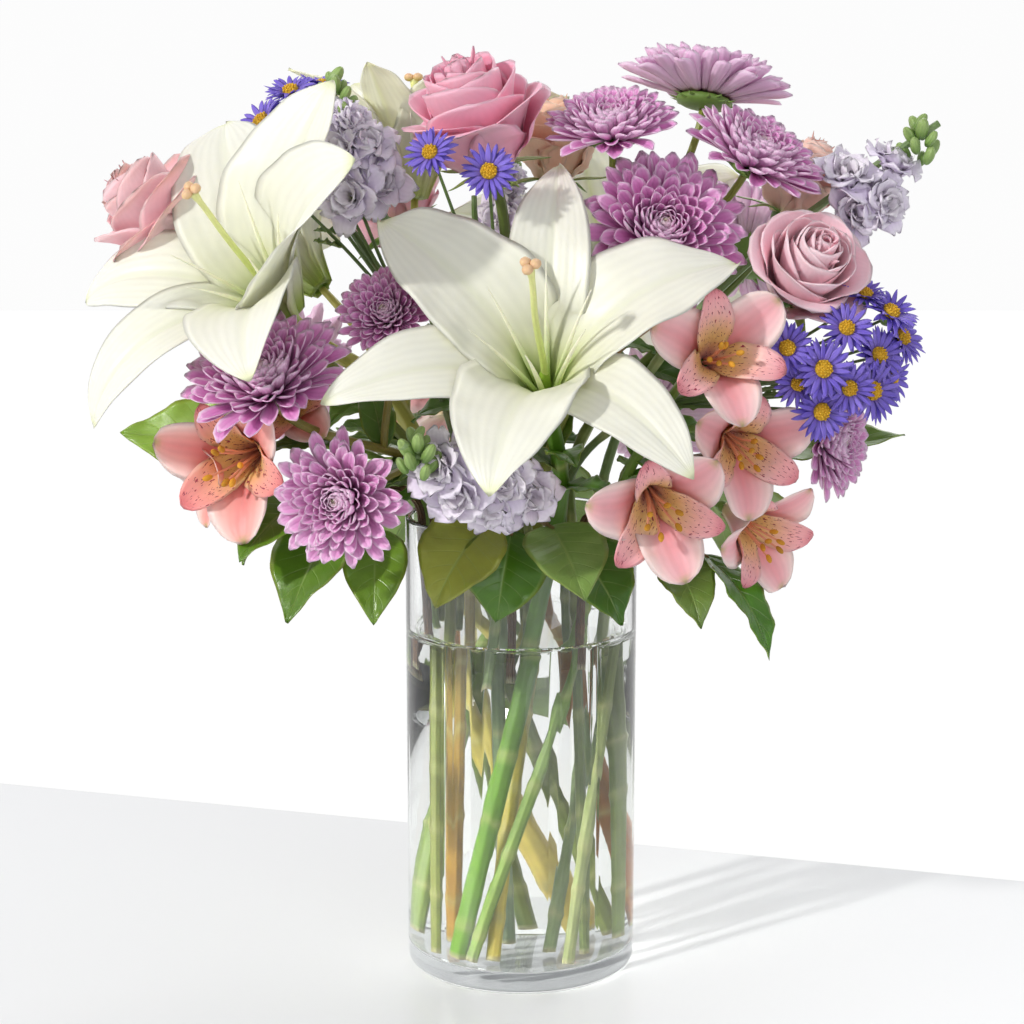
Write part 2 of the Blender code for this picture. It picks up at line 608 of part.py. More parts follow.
spray("salal_left", (-40, -8, 140), (-43, -14), (-84, -54, 226), (-0.7, -0.6, 0.2), 1.8, 1.4, leaves([
    ((-74, -52, 214), (-0.30, -0.60, -0.30), 58, 36, 0.6, (-0.2, -0.6, 0.8)),
    ((-86, -56, 222), (-0.50, -0.70, -0.10), 50, 30, 0.6, (-0.3, -0.5, 0.8)),
    ((-60, -54, 206), (0.0, -0.80, -0.35), 46, 26, 0.7, (0, -0.5, 0.9)),
    ((-90, -48, 230), (-0.95, 0.05, 0.05), 68, 34, 0.35, (0, -0.5, 0.8))]), "leaf")
spray("salal_right", (24, -34, 142), (26, -34), (66, -50, 196), (0.8, -0.4, 0.0), 1.8, 1.3, leaves([
    ((76, -46, 194), (0.55, -0.45, -0.30), 54, 20, 0.8, (0.4, -0.3, 0.8)),
    ((60, -42, 196), (0.35, -0.80, -0.25), 44, 24, 0.7, (0.2, -0.5, 0.8))]), "leaf")
spray("salal_back", (-26, 30, 142), (-31, 31), (-30, 78, 214), (-0.3, 0.9, 0.3), 1.8, 1.4, leaves([
    ((-34, 78, 208), (-0.50, 0.70, -0.40), 60, 38, 0.7, (0, 0.6, 0.8)),
    ((-18, 80, 208), (0.10, 0.80, -0.45), 60, 38, 0.7, (0, 0.6, 0.8)),
    ((-44, 74, 212), (-0.90, 0.40, -0.15), 60, 36, 0.5, (0, 0.4, 0.9)),
    ((0, 78, 210), (0.60, 0.70, -0.35), 58, 36, 0.7, (0, 0.6, 0.8))]), "leaf")
spray("salal_back_right", (38, 14, 142), (42, 10), (88, 50, 222), (0.8, 0.4, 0.2), 1.8, 1.4, leaves([
    ((84, 46, 214), (0.70, 0.30, -0.30), 62, 36, 0.6, (0.3, 0.2, 0.9)),
    ((80, 54, 210), (0.40, 0.70, -0.40), 58, 36, 0.7, (0.2, 0.5, 0.8)),
    ((92, 50, 224), (0.80, 0.60, 0.10), 60, 34, 0.4, (0, 0.2, 0.9)),
    ((98, 32, 222), (0.86, -0.42, 0.28), 76, 32, 0.2, (0, -0.4, 0.9))]), "leaf")
spray("salal_back_left", (-40, 16, 142), (-42, 12), (-86, 44, 220), (-0.8, 0.4, 0.2), 1.8, 1.4, leaves([
    ((-82, 42, 212), (-0.80, 0.10, -0.30), 62, 36, 0.6, (-0.2, 0.2, 0.9)),
    ((-80, 50, 210), (-0.40, 0.70, -0.40), 56, 36, 0.7, (-0.2, 0.5, 0.8))]), "leaf")
build_water(bores)
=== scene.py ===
import math
import random

import bmesh
import bpy
import numpy as np
from mathutils import Matrix, Vector


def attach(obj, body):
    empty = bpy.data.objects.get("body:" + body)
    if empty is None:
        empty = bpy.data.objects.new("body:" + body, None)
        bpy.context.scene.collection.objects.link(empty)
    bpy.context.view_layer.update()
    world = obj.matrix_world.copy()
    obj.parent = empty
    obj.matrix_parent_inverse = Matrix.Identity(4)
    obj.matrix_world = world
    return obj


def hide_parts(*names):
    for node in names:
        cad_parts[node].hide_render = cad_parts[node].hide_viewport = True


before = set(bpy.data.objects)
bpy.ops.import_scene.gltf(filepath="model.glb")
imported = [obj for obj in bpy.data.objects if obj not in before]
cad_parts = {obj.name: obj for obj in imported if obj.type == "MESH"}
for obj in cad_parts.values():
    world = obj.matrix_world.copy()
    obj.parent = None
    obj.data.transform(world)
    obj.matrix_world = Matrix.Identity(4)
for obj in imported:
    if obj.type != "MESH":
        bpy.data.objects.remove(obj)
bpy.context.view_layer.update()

MM = 0.001
GOLD = math.radians(137.508)


# ------------------------------------------------------------------ helpers
def smooth(x):
    x = np.clip(x, 0.0, 1.0)
    return x * x * (3 - 2 * x)


def stand(axis, up=(0.0, 0.0, 1.0)):
    z = Vector(axis).normalized()
    y = Vector(up) - z * Vector(up).dot(z)
    y.normalize()
    x = y.cross(z)
    return Matrix((x, y, z)).transposed()


def place(base, axis, roll=0.0, scale=1.0, up=(0.0, 0.0, 1.0)):
    turn = stand(axis, up).to_4x4() @ Matrix.Rotation(math.radians(roll), 4, "Z")
    return np.array(Matrix.Translation(Vector(base)) @ turn @ Matrix.Scale(scale, 4))


def mm(p):
    return Vector((p[0] * MM, p[1] * MM, p[2] * MM))


class Build:
    """Collects shells and tubes of one piece, with a colour for each point and
    the attributes t (along), s (across), side (+1 upper, -1 under) and rnd."""

    def __init__(self):
        self.v, self.f, self.m, self.a, self.n, self.caps = [], [], [], [], 0, []

    def add(self, pts, faces, mat, col, t, s, side, rnd):
        k = len(pts)
        self.v.append(np.asarray(pts, float))
        self.f.append(np.asarray(faces, int) + self.n)
        self.m.append(np.full(len(faces), mat, int))
        att = np.zeros((k, 7))
        att[:, 0:3] = col
        att[:, 3], att[:, 4], att[:, 5], att[:, 6] = t, s, side, rnd
        self.a.append(att)
        self.n += k

    def shell(self, P, T, S, M, mat, colour, thick, rnd):
        """A closed thin shell round the grid P (nu x nv x 3): its upper and
        under sides meet along the whole edge."""
        nu, nv = P.shape[:2]
        du = np.gradient(P, axis=0)
        dv = np.gradient(P, axis=1)
        N = np.cross(du, dv)
        ln = np.linalg.norm(N, axis=2, keepdims=True)
        N = N / np.maximum(ln, 1e-12)
        inner = np.ones((nu, nv), bool)
        inner[0, :] = inner[-1, :] = False
        inner[:, 0] = inner[:, -1] = False
        top = np.arange(nu * nv).reshape(nu, nv)
        low = top.copy()
        low[inner] = nu * nv + np.arange(inner.sum())
        up = P + N * (0.5 * thick) * inner[..., None]
        dn = (P - N * (0.5 * thick))[inner]
        pts = np.concatenate([up.reshape(-1, 3), dn])
        pts = pts @ M[:3, :3].T + M[:3, 3]
        q = lambda g: np.stack([g[:-1, :-1], g[:-1, 1:], g[1:, 1:], g[1:, :-1]], -1).reshape(-1, 4)
        faces = np.concatenate([q(top)[:, ::-1], q(low)])
        tt = np.concatenate([T.ravel(), T[inner]])
        ss = np.concatenate([S.ravel(), S[inner]])
        sd = np.concatenate([np.where(inner, 1.0, 0.0).ravel(), -np.ones(inner.sum())])
        col = colour(tt, ss, sd, rnd)
        self.add(pts, faces, mat, col, tt, ss, sd, rnd)

    def petal(self, M, L, W, th0, th1, colour, az=0.0, p=1.0, r0=1.0 * MM, cup=0.2, tip=0.0,
              tw=0.0, sweep=0.0, ruf=0.0, rf=3.0, prof=None, nu=16, nv=7, thick=0.5 * MM,
              mat=0, rnd=0.0, groove=0.0, wo=0.02, wk=1.0, notch=0.0, blunt=0.0, z0=0.0, ph=0.0):
        t = np.linspace(0, 1, nu)
        s = np.linspace(-1, 1, nv)
        th = np.radians(th0 + (th1 - th0) * t ** p + tip * smooth((t - 0.62) / 0.38))
        dt = 1.0 / (nu - 1)
        sr, cz = np.sin(th) * L, np.cos(th) * L
        r = r0 + np.concatenate([[0], np.cumsum((sr[1:] + sr[:-1]) / 2 * dt)])
        z = z0 + np.concatenate([[0], np.cumsum((cz[1:] + cz[:-1]) / 2 * dt)])
        half = 0.5 * W * prof(t)
        T, S = np.meshgrid(t, s, indexing="ij")
        R, Z, H = r[:, None], z[:, None], half[:, None]
        th2 = th[:, None]
        lat = S * H
        rho = np.maximum(R * wk + wo, 1e-4)
        po = np.clip(lat / rho, -2.6, 2.6)
        xr = rho * np.cos(po) - rho
        yr = rho * np.sin(po)
        n = cup * H * S ** 2 - groove * np.exp(-(S / 0.13) ** 2) * smooth(T / 0.15) * smooth((1 - T) / 0.2)
        edge = smooth(T / 0.35) * np.abs(S) ** 2.2
        n = n + ruf * edge * np.sin(2 * np.pi * rf * T + ph + 1.9 * np.sign(S)) + 0.45 * ruf * edge * np.sin(2 * np.pi * rf * 2.3 * T + 2.1 * ph + 4.0 * np.sign(S))
        twa = tw * T
        yl = yr * np.cos(twa)
        nl = n + yr * np.sin(twa)
        along = -notch * np.exp(-(S / 0.28) ** 2) * T ** 8 - blunt * H * S ** 2 * T ** 5
        rad = R + xr - np.cos(th2) * nl + np.sin(th2) * along
        zz = Z + np.sin(th2) * nl + np.cos(th2) * along
        a = az + sweep * T ** 2
        P = np.stack([rad * np.cos(a) - yl * np.sin(a), rad * np.sin(a) + yl * np.cos(a), zz], -1)
        self.shell(P, T, S, M, mat, colour, thick, rnd)
        return P[-1, nv // 2] @ M[:3, :3].T + M[:3, 3]

    def tube(self, pts, radii, colour, mat=0, sides=10, rnd=0.0, cap=0.6, res=1):
        P = np.array([list(p) for p in pts], float)
        n0 = len(P)
        if res > 1:
            q = []
            for i in range(n0 - 1):
                p0, p1, p2, p3 = P[max(i - 1, 0)], P[i], P[i + 1], P[min(i + 2, n0 - 1)]
                for j in range(res):
                    u = j / res
                    q.append(0.5 * ((2 * p1) + (p2 - p0) * u + (2 * p0 - 5 * p1 + 4 * p2 - p3) * u * u + (3 * p1 - p0 - 3 * p2 + p3) * u ** 3))
            q.append(P[-1])
            P = np.array(q)
        n = len(P)
        d = np.linalg.norm(np.diff(P, axis=0), axis=1)
        t = np.concatenate([[0], np.cumsum(d)])
        length = t[-1]
        t = t / length
        rad = radii(t, t * length) if callable(radii) else np.interp(t, np.linspace(0, 1, len(radii)), radii)
        tan = np.gradient(P, axis=0)
        tan /= np.linalg.norm(tan, axis=1, keepdims=True)
        ref = np.array([0.0, 1.0, 0.0]) if abs(tan[0][1]) < 0.9 else np.array([1.0, 0, 0])
        x = np.cross(tan[0], ref)
        x /= np.linalg.norm(x)
        rings = []
        ang = np.linspace(0, 2 * np.pi, sides, endpoint=False)
        for i in range(n):
            x = x - tan[i] * np.dot(x, tan[i])
            x /= np.linalg.norm(x)
            y = np.cross(tan[i], x)
            rings.append(P[i] + rad[i] * (np.cos(ang)[:, None] * x + np.sin(ang)[:, None] * y))
        pts = np.concatenate(rings + [[P[0]], [P[-1]]])
        f = []
        for i in range(n - 1):
            for j in range(sides):
                k = (j + 1) % sides
                f.append((i * sides + j, i * sides + k, (i + 1) * sides + k, (i + 1) * sides + j))
        c0, c1 = n * sides, n * sides + 1
        tri = []
        for j in range(sides):
            k = (j + 1) % sides
            tri.append((c0, k, j))
            tri.append((c1, (n - 1) * sides + j, (n - 1) * sides + k))
        tt = np.concatenate([np.repeat(t, sides), [0, 1]])
        ss = np.concatenate([np.tile(ang / np.pi - 1, n), [0, 0]])
        col = colour(tt, ss, np.ones_like(tt), rnd)
        self.add(pts, f, mat, col, tt, ss, 1.0, rnd)
        base = self.n - len(pts)
        for a_, b_, c_ in tri:
            self.caps.append((a_ + base, b_ + base, c_ + base, mat))

    def blob(self, centre, radii, axis, colour, mat=0, nu=8, nv=10, rnd=0.0, bump=0.0):
        """A rounded closed form: a sphere drawn out along its axis."""
        M = place(centre, axis)
        th = np.linspace(0, np.pi, nu + 1)[1:-1]
        ph = np.linspace(0, 2 * np.pi, nv, endpoint=False)
        TH, PH = np.meshgrid(th, ph, indexing="ij")
        k = 1 + bump * np.sin(5 * PH) * np.sin(TH)
        P = np.stack([radii[0] * k * np.sin(TH) * np.cos(PH), radii[0] * k * np.sin(TH) * np.sin(PH), -radii[1] * np.cos(TH)], -1).reshape(-1, 3)
        P = np.concatenate([P, [[0, 0, -radii[1]], [0, 0, radii[1]]]]) @ M[:3, :3].T + M[:3, 3]
        rows = nu - 1
        f = []
        for i in range(rows - 1):
            for j in range(nv):
                k2 = (j + 1) % nv
                f.append((i * nv + j, i * nv + k2, (i + 1) * nv + k2, (i + 1) * nv + j))
        t = np.concatenate([np.repeat(1 - (np.cos(th) * 0.5 + 0.5), nv), [0, 1]])
        s = np.concatenate([np.tile(ph / np.pi - 1, rows), [0, 0]])
        base = self.n
        self.add(P, np.array(f), mat, colour(t, s, np.ones_like(t), rnd), t, s, 1.0, rnd)
        c0, c1 = rows * nv, rows * nv + 1
        for j in range(nv):
            k2 = (j + 1) % nv
            self.caps.append((base + c0, base + k2, base + j, mat))
            self.caps.append((base + c1, base + (rows - 1) * nv + j, base + (rows - 1) * nv + k2, mat))

    def make(self, name, mats, node, slot):
        V = np.concatenate([v for v in self.v if len(v)])
        F = np.concatenate([f for f in self.f if len(f)])
        Mi = np.concatenate(self.m)
        A = np.concatenate([a for a in self.a if len(a)])
        caps = self.caps
        mesh = bpy.data.meshes.new(name)
        nq, nt = len(F), len(caps)
        mesh.vertices.add(len(V))
        mesh.vertices.foreach_set("co", V.astype(np.float32).ravel())
        loops = F.ravel()
        if nt:
            loops = np.concatenate([loops, np.array([c[:3] for c in caps], int).ravel()])
            Mi = np.concatenate([Mi, np.array([c[3] for c in caps], int)])
        mesh.loops.add(len(loops))
        mesh.loops.foreach_set("vertex_index", loops.astype(np.int32))
        mesh.polygons.add(nq + nt)
        starts = np.concatenate([np.arange(nq) * 4, nq * 4 + np.arange(nt) * 3]).astype(np.int32)
        mesh.polygons.foreach_set("loop_start", starts)
        mesh.polygons.foreach_set("material_index", Mi.astype(np.int32))
        mesh.update(calc_edges=True)
        mesh.validate()
        col = mesh.attributes.new("Col", "FLOAT_COLOR", "POINT")
        rgba = np.ones((len(V), 4), np.float32)
        rgba[:, :3] = np.clip(A[:, :3], 0, 1)
        if len(mesh.vertices) == len(V):
            col.data.foreach_set("color", rgba.ravel())
            for i, key in enumerate(("t", "s", "side", "rnd")):
                att = mesh.attributes.new(key, "FLOAT", "POINT")
                att.data.foreach_set("value", A[:, 3 + i].astype(np.float32))
        mesh.polygons.foreach_set("use_smooth", np.ones(len(mesh.polygons), bool))
        for m in mats:
            mesh.materials.append(m)
        obj = bpy.data.objects.new(name, mesh)
        bpy.context.scene.collection.objects.link(obj)
        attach(obj, "root")
        if node:
            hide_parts(*([node] if isinstance(node, str) else node))
        return obj


# --------------------------------------------------------------- materials
def new_mat(name):
    mat = bpy.data.materials.new(name)
    mat.use_nodes = True
    nt = mat.node_tree
    return mat, nt, nt.nodes["Principled BSDF"], nt.nodes["Material Output"]


def math_node(nt, op, a, b=None, c=None, clamp=False):
    n = nt.nodes.new("ShaderNodeMath")
    n.operation = op
    n.use_clamp = clamp
    for i, x in enumerate((a, b, c)):
        if x is None:
            continue
        if isinstance(x, (int, float)):
            n.inputs[i].default_value = x
        else:
            nt.links.new(x, n.inputs[i])
    return n.outputs[0]


def attr(nt, name, out="Fac"):
    n = nt.nodes.new("ShaderNodeAttribute")
    n.attribute_name = name
    return n.outputs[out]


def mix_col(nt, fac, a, b, blend="MIX"):
    n = nt.nodes.new("ShaderNodeMix")
    n.data_type = "RGBA"
    n.blend_type = blend
    for key, x in ((0, fac), (6, a), (7, b)):
        if isinstance(x, (int, float)):
            n.inputs[key].default_value = x
        elif isinstance(x, tuple):
            n.inputs[key].default_value = (*x, 1.0) if len(x) == 3 else x
        else:
            nt.links.new(x, n.inputs[key])
    return n.outputs[2]


def noise(nt, scale, detail=4.0, rough=0.55, coord="Object", stretch=None):
    tex = nt.nodes.new("ShaderNodeTexNoise")
    tex.inputs["Scale"].default_value = scale
    tex.inputs["Detail"].default_value = detail
    tex.inputs["Roughness"].default_value = rough
    tc = nt.nodes.new("ShaderNodeTexCoord")
    nt.links.new(tc.outputs[coord], tex.inputs["Vector"])
    return tex.outputs["Fac"]


def organic(name, rough=0.5, sss=0.3, radius=(1.0, 0.7, 0.5), scale=0.003, ribs=0.0, rib_n=30.0,
            vary=0.12, vary_scale=180.0, bump=0.25, dist=0.0002, coat=0.0, sheen=0.0, fleck=None, spec=0.4):
    """Petal or plant tissue: the piece's own colour, mottled by noise, with
    fine ribs running along each petal, thin and slightly see-through."""
    mat, nt, sh, out = new_mat(name)
    col = attr(nt, "Col", "Color")
    nz = noise(nt, vary_scale, 5.0)
    fac = math_node(nt, "MULTIPLY_ADD", nz, 2 * vary, 1.0 - vary)
    grey = nt.nodes.new("ShaderNodeCombineColor")
    for i in range(3):
        nt.links.new(fac, grey.inputs[i])
    col = mix_col(nt, 1.0, col, grey.outputs[0], "MULTIPLY")
    s = attr(nt, "s")
    t = attr(nt, "t")
    height = math_node(nt, "MULTIPLY", noise(nt, vary_scale * 3.2, 3.0), 0.5)
    if ribs:
        wob = math_node(nt, "MULTIPLY", nz, 2.2)
        lines = math_node(nt, "SINE", math_node(nt, "ADD", math_node(nt, "MULTIPLY", s, rib_n), wob))
        height = math_node(nt, "MULTIPLY_ADD", lines, 0.5 * ribs, height)
        dark = math_node(nt, "MULTIPLY_ADD", lines, 0.035 * ribs, 1.0 - 0.035 * ribs)
        g2 = nt.nodes.new("ShaderNodeCombineColor")
        for i in range(3):
            nt.links.new(dark, g2.inputs[i])
        col = mix_col(nt, 1.0, col, g2.outputs[0], "MULTIPLY")
    if fleck:
        vec = nt.nodes.new("ShaderNodeCombineXYZ")
        rnd = attr(nt, "rnd")
        nt.links.new(math_node(nt, "MULTIPLY", s, 5.5), vec.inputs[0])
        nt.links.new(math_node(nt, "MULTIPLY", t, 8.0), vec.inputs[1])
        nt.links.new(math_node(nt, "MULTIPLY", rnd, 37.0), vec.inputs[2])
        tex = nt.nodes.new("ShaderNodeTexNoise")
        tex.inputs["Scale"].default_value = 2.4
        tex.inputs["Detail"].default_value = 1.0
        nt.links.new(vec.outputs[0], tex.inputs["Vector"])
        hit = math_node(nt, "GREATER_THAN", tex.outputs["Fac"], fleck[0])
        hit = math_node(nt, "MULTIPLY", hit, math_node(nt, "GREATER_THAN", rnd, 0.5))
        col = mix_col(nt, hit, col, fleck[1])
    nt.links.new(col, sh.inputs["Base Color"])
    rr = math_node(nt, "MULTIPLY_ADD", nz, 0.16, rough - 0.08)
    nt.links.new(rr, sh.inputs["Roughness"])
    sh.inputs["Subsurface Weight"].default_value = sss
    sh.inputs["Subsurface Radius"].default_value = radius
    sh.inputs["Subsurface Scale"].default_value = scale
    sh.inputs["Specular IOR Level"].default_value = spec
    sh.inputs["Coat Weight"].default_value = coat
    sh.inputs["Coat Roughness"].default_value = 0.25
    sh.inputs["Sheen Weight"].default_value = sheen
    sh.inputs["Sheen Roughness"].default_value = 0.4
    b = nt.nodes.new("ShaderNodeBump")
    b.inputs["Strength"].default_value = bump
    b.inputs["Distance"].default_value = dist
    nt.links.new(height, b.inputs["Height"])
    nt.links.new(b.outputs[0], sh.inputs["Normal"])
    return mat


def leaf_material(name, vein=(0.30, 0.42, 0.12), rough=0.34, pairs=7.0):
    """Leathery leaf: paler midrib and paired side veins, sunk between slightly
    quilted fields, with the same thin waxy coat and gloss on both sides."""
    mat, nt, sh, out = new_mat(name)
    col = attr(nt, "Col", "Color")
    s, t = attr(nt, "s"), attr(nt, "t")
    a = math_node(nt, "ABSOLUTE", s)
    nz = noise(nt, 90.0, 5.0)
    mid = math_node(nt, "SUBTRACT", 1.0, math_node(nt, "DIVIDE", a, 0.055, clamp=True), clamp=True)
    ph = math_node(nt, "SUBTRACT", t, math_node(nt, "MULTIPLY", a, 0.20))
    ph = math_node(nt, "ADD", ph, math_node(nt, "MULTIPLY", nz, 0.02))
    tri = math_node(nt, "PINGPONG", math_node(nt, "MULTIPLY", ph, pairs), 0.5)
    side = math_node(nt, "SUBTRACT", 1.0, math_node(nt, "DIVIDE", tri, 0.055), clamp=True)
    fade = math_node(nt, "SUBTRACT", 1.0, a, clamp=True)
    side = math_node(nt, "MULTIPLY", side, math_node(nt, "POWER", fade, 0.6))
    veins = math_node(nt, "MAXIMUM", mid, math_node(nt, "MULTIPLY", side, 0.6))
    col = mix_col(nt, math_node(nt, "MULTIPLY", veins, 0.55), col, vein)
    fac = math_node(nt, "MULTIPLY_ADD", nz, 0.5, 0.75)
    grey = nt.nodes.new("ShaderNodeCombineColor")
    for i in range(3):
        nt.links.new(fac, grey.inputs[i])
    col = mix_col(nt, 1.0, col, grey.outputs[0], "MULTIPLY")
    nt.links.new(col, sh.inputs["Base Color"])
    rr = math_node(nt, "MULTIPLY_ADD", nz, 0.22, rough - 0.11)
    nt.links.new(rr, sh.inputs["Roughness"])
    sh.inputs["Subsurface Weight"].default_value = 0.12
    sh.inputs["Subsurface Radius"].default_value = (0.6, 1.0, 0.2)
    sh.inputs["Subsurface Scale"].default_value = 0.0015
    sh.inputs["Coat Weight"].default_value = 0.12
    sh.inputs["Coat Roughness"].default_value = 0.3
    quilt = math_node(nt, "MULTIPLY", math_node(nt, "SUBTRACT", tri, veins), 0.8)
    quilt = math_node(nt, "ADD", quilt, math_node(nt, "MULTIPLY", noise(nt, 900.0, 2.0), 0.25))
    b = nt.nodes.new("ShaderNodeBump")
    b.inputs["Strength"].default_value = 0.5
    b.inputs["Distance"].default_value = 0.0006
    nt.links.new(quilt, b.inputs["Height"])
    nt.links.new(b.outputs[0], sh.inputs["Normal"])
    return mat


def clear(name, ior, tint, rough=0.0):
    """Clear glass or water; lamps shine through it."""
    mat, nt, sh, out = new_mat(name)
    sh.inputs["Base Color"].default_value = (*tint, 1.0)
    sh.inputs["Roughness"].default_value = rough
    sh.inputs["IOR"].default_value = ior
    sh.inputs["Transmission Weight"].default_value = 1.0
    path = nt.nodes.new("ShaderNodeLightPath")
    see = nt.nodes.new("ShaderNodeBsdfTransparent")
    see.inputs[0].default_value = (*[0.5 + 0.5 * c for c in tint], 1.0)
    mix = nt.nodes.new("ShaderNodeMixShader")
    nt.links.new(path.outputs["Is Shadow Ray"], mix.inputs[0])
    nt.links.new(sh.outputs[0], mix.inputs[1])
    nt.links.new(see.outputs[0], mix.inputs[2])
    nt.links.new(mix.outputs[0], out.inputs["Surface"])
    return mat


LILY = organic("lily_petal", 0.42, 0.35, (1.0, 0.95, 0.7), 0.004, ribs=0.55, rib_n=34, vary=0.03, vary_scale=120, bump=0.35, dist=0.00035, coat=0.05)
GREEN = organic("soft_green_tissue", 0.45, 0.2, (0.7, 1.0, 0.3), 0.002, ribs=0.4, rib_n=20, vary=0.14, vary_scale=300, bump=0.3)
ROSE = organic("rose_petal", 0.55, 0.30, (1.0, 0.5, 0.5), 0.003, ribs=0.3, rib_n=46, vary=0.05, vary_scale=160, bump=0.2, sheen=0.25)
MUM = organic("chrysanthemum_petal", 0.5, 0.25, (1.0, 0.6, 0.8), 0.002, ribs=0.8, rib_n=12, vary=0.07, vary_scale=260, bump=0.5, dist=0.0003)
STOCK = organic("stock_petal", 0.55, 0.3, (0.9, 0.85, 1.0), 0.002, ribs=0.5, rib_n=22, vary=0.05, vary_scale=240, bump=0.35)
ASTER = organic("aster_ray", 0.55, 0.2, (0.6, 0.5, 1.0), 0.001, ribs=0.5, rib_n=9, vary=0.1, vary_scale=300, bump=0.3)
DISC = organic("aster_disc", 0.7, 0.1, (1.0, 0.8, 0.3), 0.001, vary=0.3, vary_scale=1400, bump=0.8, dist=0.0005)
ALSTRO = organic("alstroemeria_petal", 0.45, 0.3, (1.0, 0.5, 0.4), 0.003, ribs=0.6, rib_n=24, vary=0.06, vary_scale=200, bump=0.35, fleck=(0.655, (0.30, 0.03, 0.07)))
ANTHER = organic("pollen_anther", 0.8, 0.05, (1, 0.8, 0.4), 0.001, vary=0.25, vary_scale=1800, bump=0.9, dist=0.0003)
STEM = organic("cut_stem", 0.42, 0.12, (0.7, 1.0, 0.3), 0.002, ribs=0.9, rib_n=22, vary=0.28, vary_scale=130, bump=0.5, dist=0.0004, spec=0.5)
BARK = organic("woody_stem", 0.6, 0.03, (1, 0.7, 0.4), 0.001, ribs=1.2, rib_n=26, vary=0.5, vary_scale=170, bump=1.0, dist=0.0006)
LEAF = leaf_material("salal_leaf")
LEAF2 = leaf_material("narrow_leaf", vein=(0.28, 0.40, 0.12), rough=0.4, pairs=3.0)
GLASS = clear("clear_glass", 1.5, (0.985, 0.995, 0.992))
WATER = clear("clear_water", 1.333, (0.99, 0.995, 0.985))

VASE_R = 50.8 * MM
VASE_H = 203.0 * MM
WALL = 3.0 * MM
FLOOR = 9.0 * MM
WATER_Z = 152.0 * MM
STEM_Z = 10.8 * MM
MOUTH_Z = 203.0 * MM


# ---- routes of the stems ---------------------------------------------------
def bezier(p0, p1, p2, p3, count):
    out = []
    for i in range(1, count + 1):
        t = i / count
        u = 1 - t
        out.append(p0 * u ** 3 + p1 * (3 * u * u * t) + p2 * (3 * u * t * t) + p3 * t ** 3)
    return out


def route(bottom, mouth, head, axis, gap, count=4, lift=0.35):
    """Straight from the cut end to the vase's mouth, then an even curve that
    reaches the head along its axis."""
    lo = Vector((bottom[0] * MM, bottom[1] * MM, (bottom[2] * MM) if len(bottom) > 2 else STEM_Z))
    hi = Vector((mouth[0] * MM, mouth[1] * MM, MOUTH_Z))
    end = Vector(head) - Vector(axis).normalized() * gap
    reach = (end - hi).length
    c1 = hi + (hi - lo).normalized() * reach * lift
    c2 = end - Vector(axis).normalized() * reach * 0.33
    return [lo, hi] + bezier(hi, c1, c2, end, count)


def twig(start, head, axis, gap, count=3, lift=0.3):
    """A side branch from a point of the main stem to a head."""
    end = Vector(head) - Vector(axis).normalized() * gap
    reach = (end - start).length
    return [start] + bezier(start, start + Vector((0, 0, 1)) * reach * lift * 0.6 + (end - start) * 0.2,
                            end - Vector(axis).normalized() * reach * 0.33, end, count)


# ---- the arrangement (millimetres) -----------------------------------------
# lily heads: base of the head, axis, petals (azimuth, length, end angle, width)
LILIES = {
    "lily_front": ((10, -92, 265), (-0.10, -0.68, 0.72),
                   [(30, 102, 118, 1.1), (88, 104, 106, 0.85), (144, 104, 104, 1.15),
                    (207, 106, 112, 0.9), (262, 102, 104, 1.15), (316, 106, 122, 0.9)]),
    "lily_left": ((-94, -66, 296), (-0.42, -0.62, 0.66),
                  [(20, 100, 70, 1.1), (68, 100, 84, 1.05), (122, 100, 112, 1.05),
                   (192, 99, 124, 0.9), (238, 108, 136, 0.85), (306, 98, 98, 1.0)]),
    "lily_top": ((-46, 8, 340), (0.0, 0.15, 0.99),
                 [(0, 78, 70, 0.85), (58, 64, 48, 0.8), (120, 64, 44, 0.8),
                  (182, 84, 96, 0.85), (240, 80, 76, 0.9), (300, 80, 72, 0.9)]),
    "lily_left_back": ((-88, 22, 300), (-0.66, 0.42, 0.62),
                       [(10, 74, 80, 0.9), (70, 78, 88, 0.9), (130, 80, 96, 0.95),
                        (190, 78, 96, 0.9), (250, 76, 92, 0.9), (310, 72, 84, 0.85)]),
    "lily_back": ((38, 82, 284), (0.16, 0.78, 0.60),
                  [(20, 100, 112, 1.0), (80, 98, 104, 0.95), (140, 100, 110, 1.0),
                   (200, 100, 114, 0.95), (260, 98, 104, 1.0), (320, 100, 112, 0.95)]),
}

# rose heads: base, axis, radius, height
ROSES = {
    "rose_top": ((-11, -56, 350), (-0.30, -0.22, 0.93), 27, 48),
    "rose_right": ((109, -50, 301), (0.24, -0.74, 0.60), 24, 44),
    "rose_left": ((-128, -36, 316), (-0.72, -0.10, 0.68), 23, 44),
    "rose_top_back": ((14, -12, 344), (0.05, 0.05, 1.0), 18, 38),
    "rose_right_back": ((110, -6, 330), (0.45, 0.05, 0.88), 20, 38),
    "rose_back": ((-54, 86, 318), (-0.34, 0.62, 0.70), 26, 46),
}

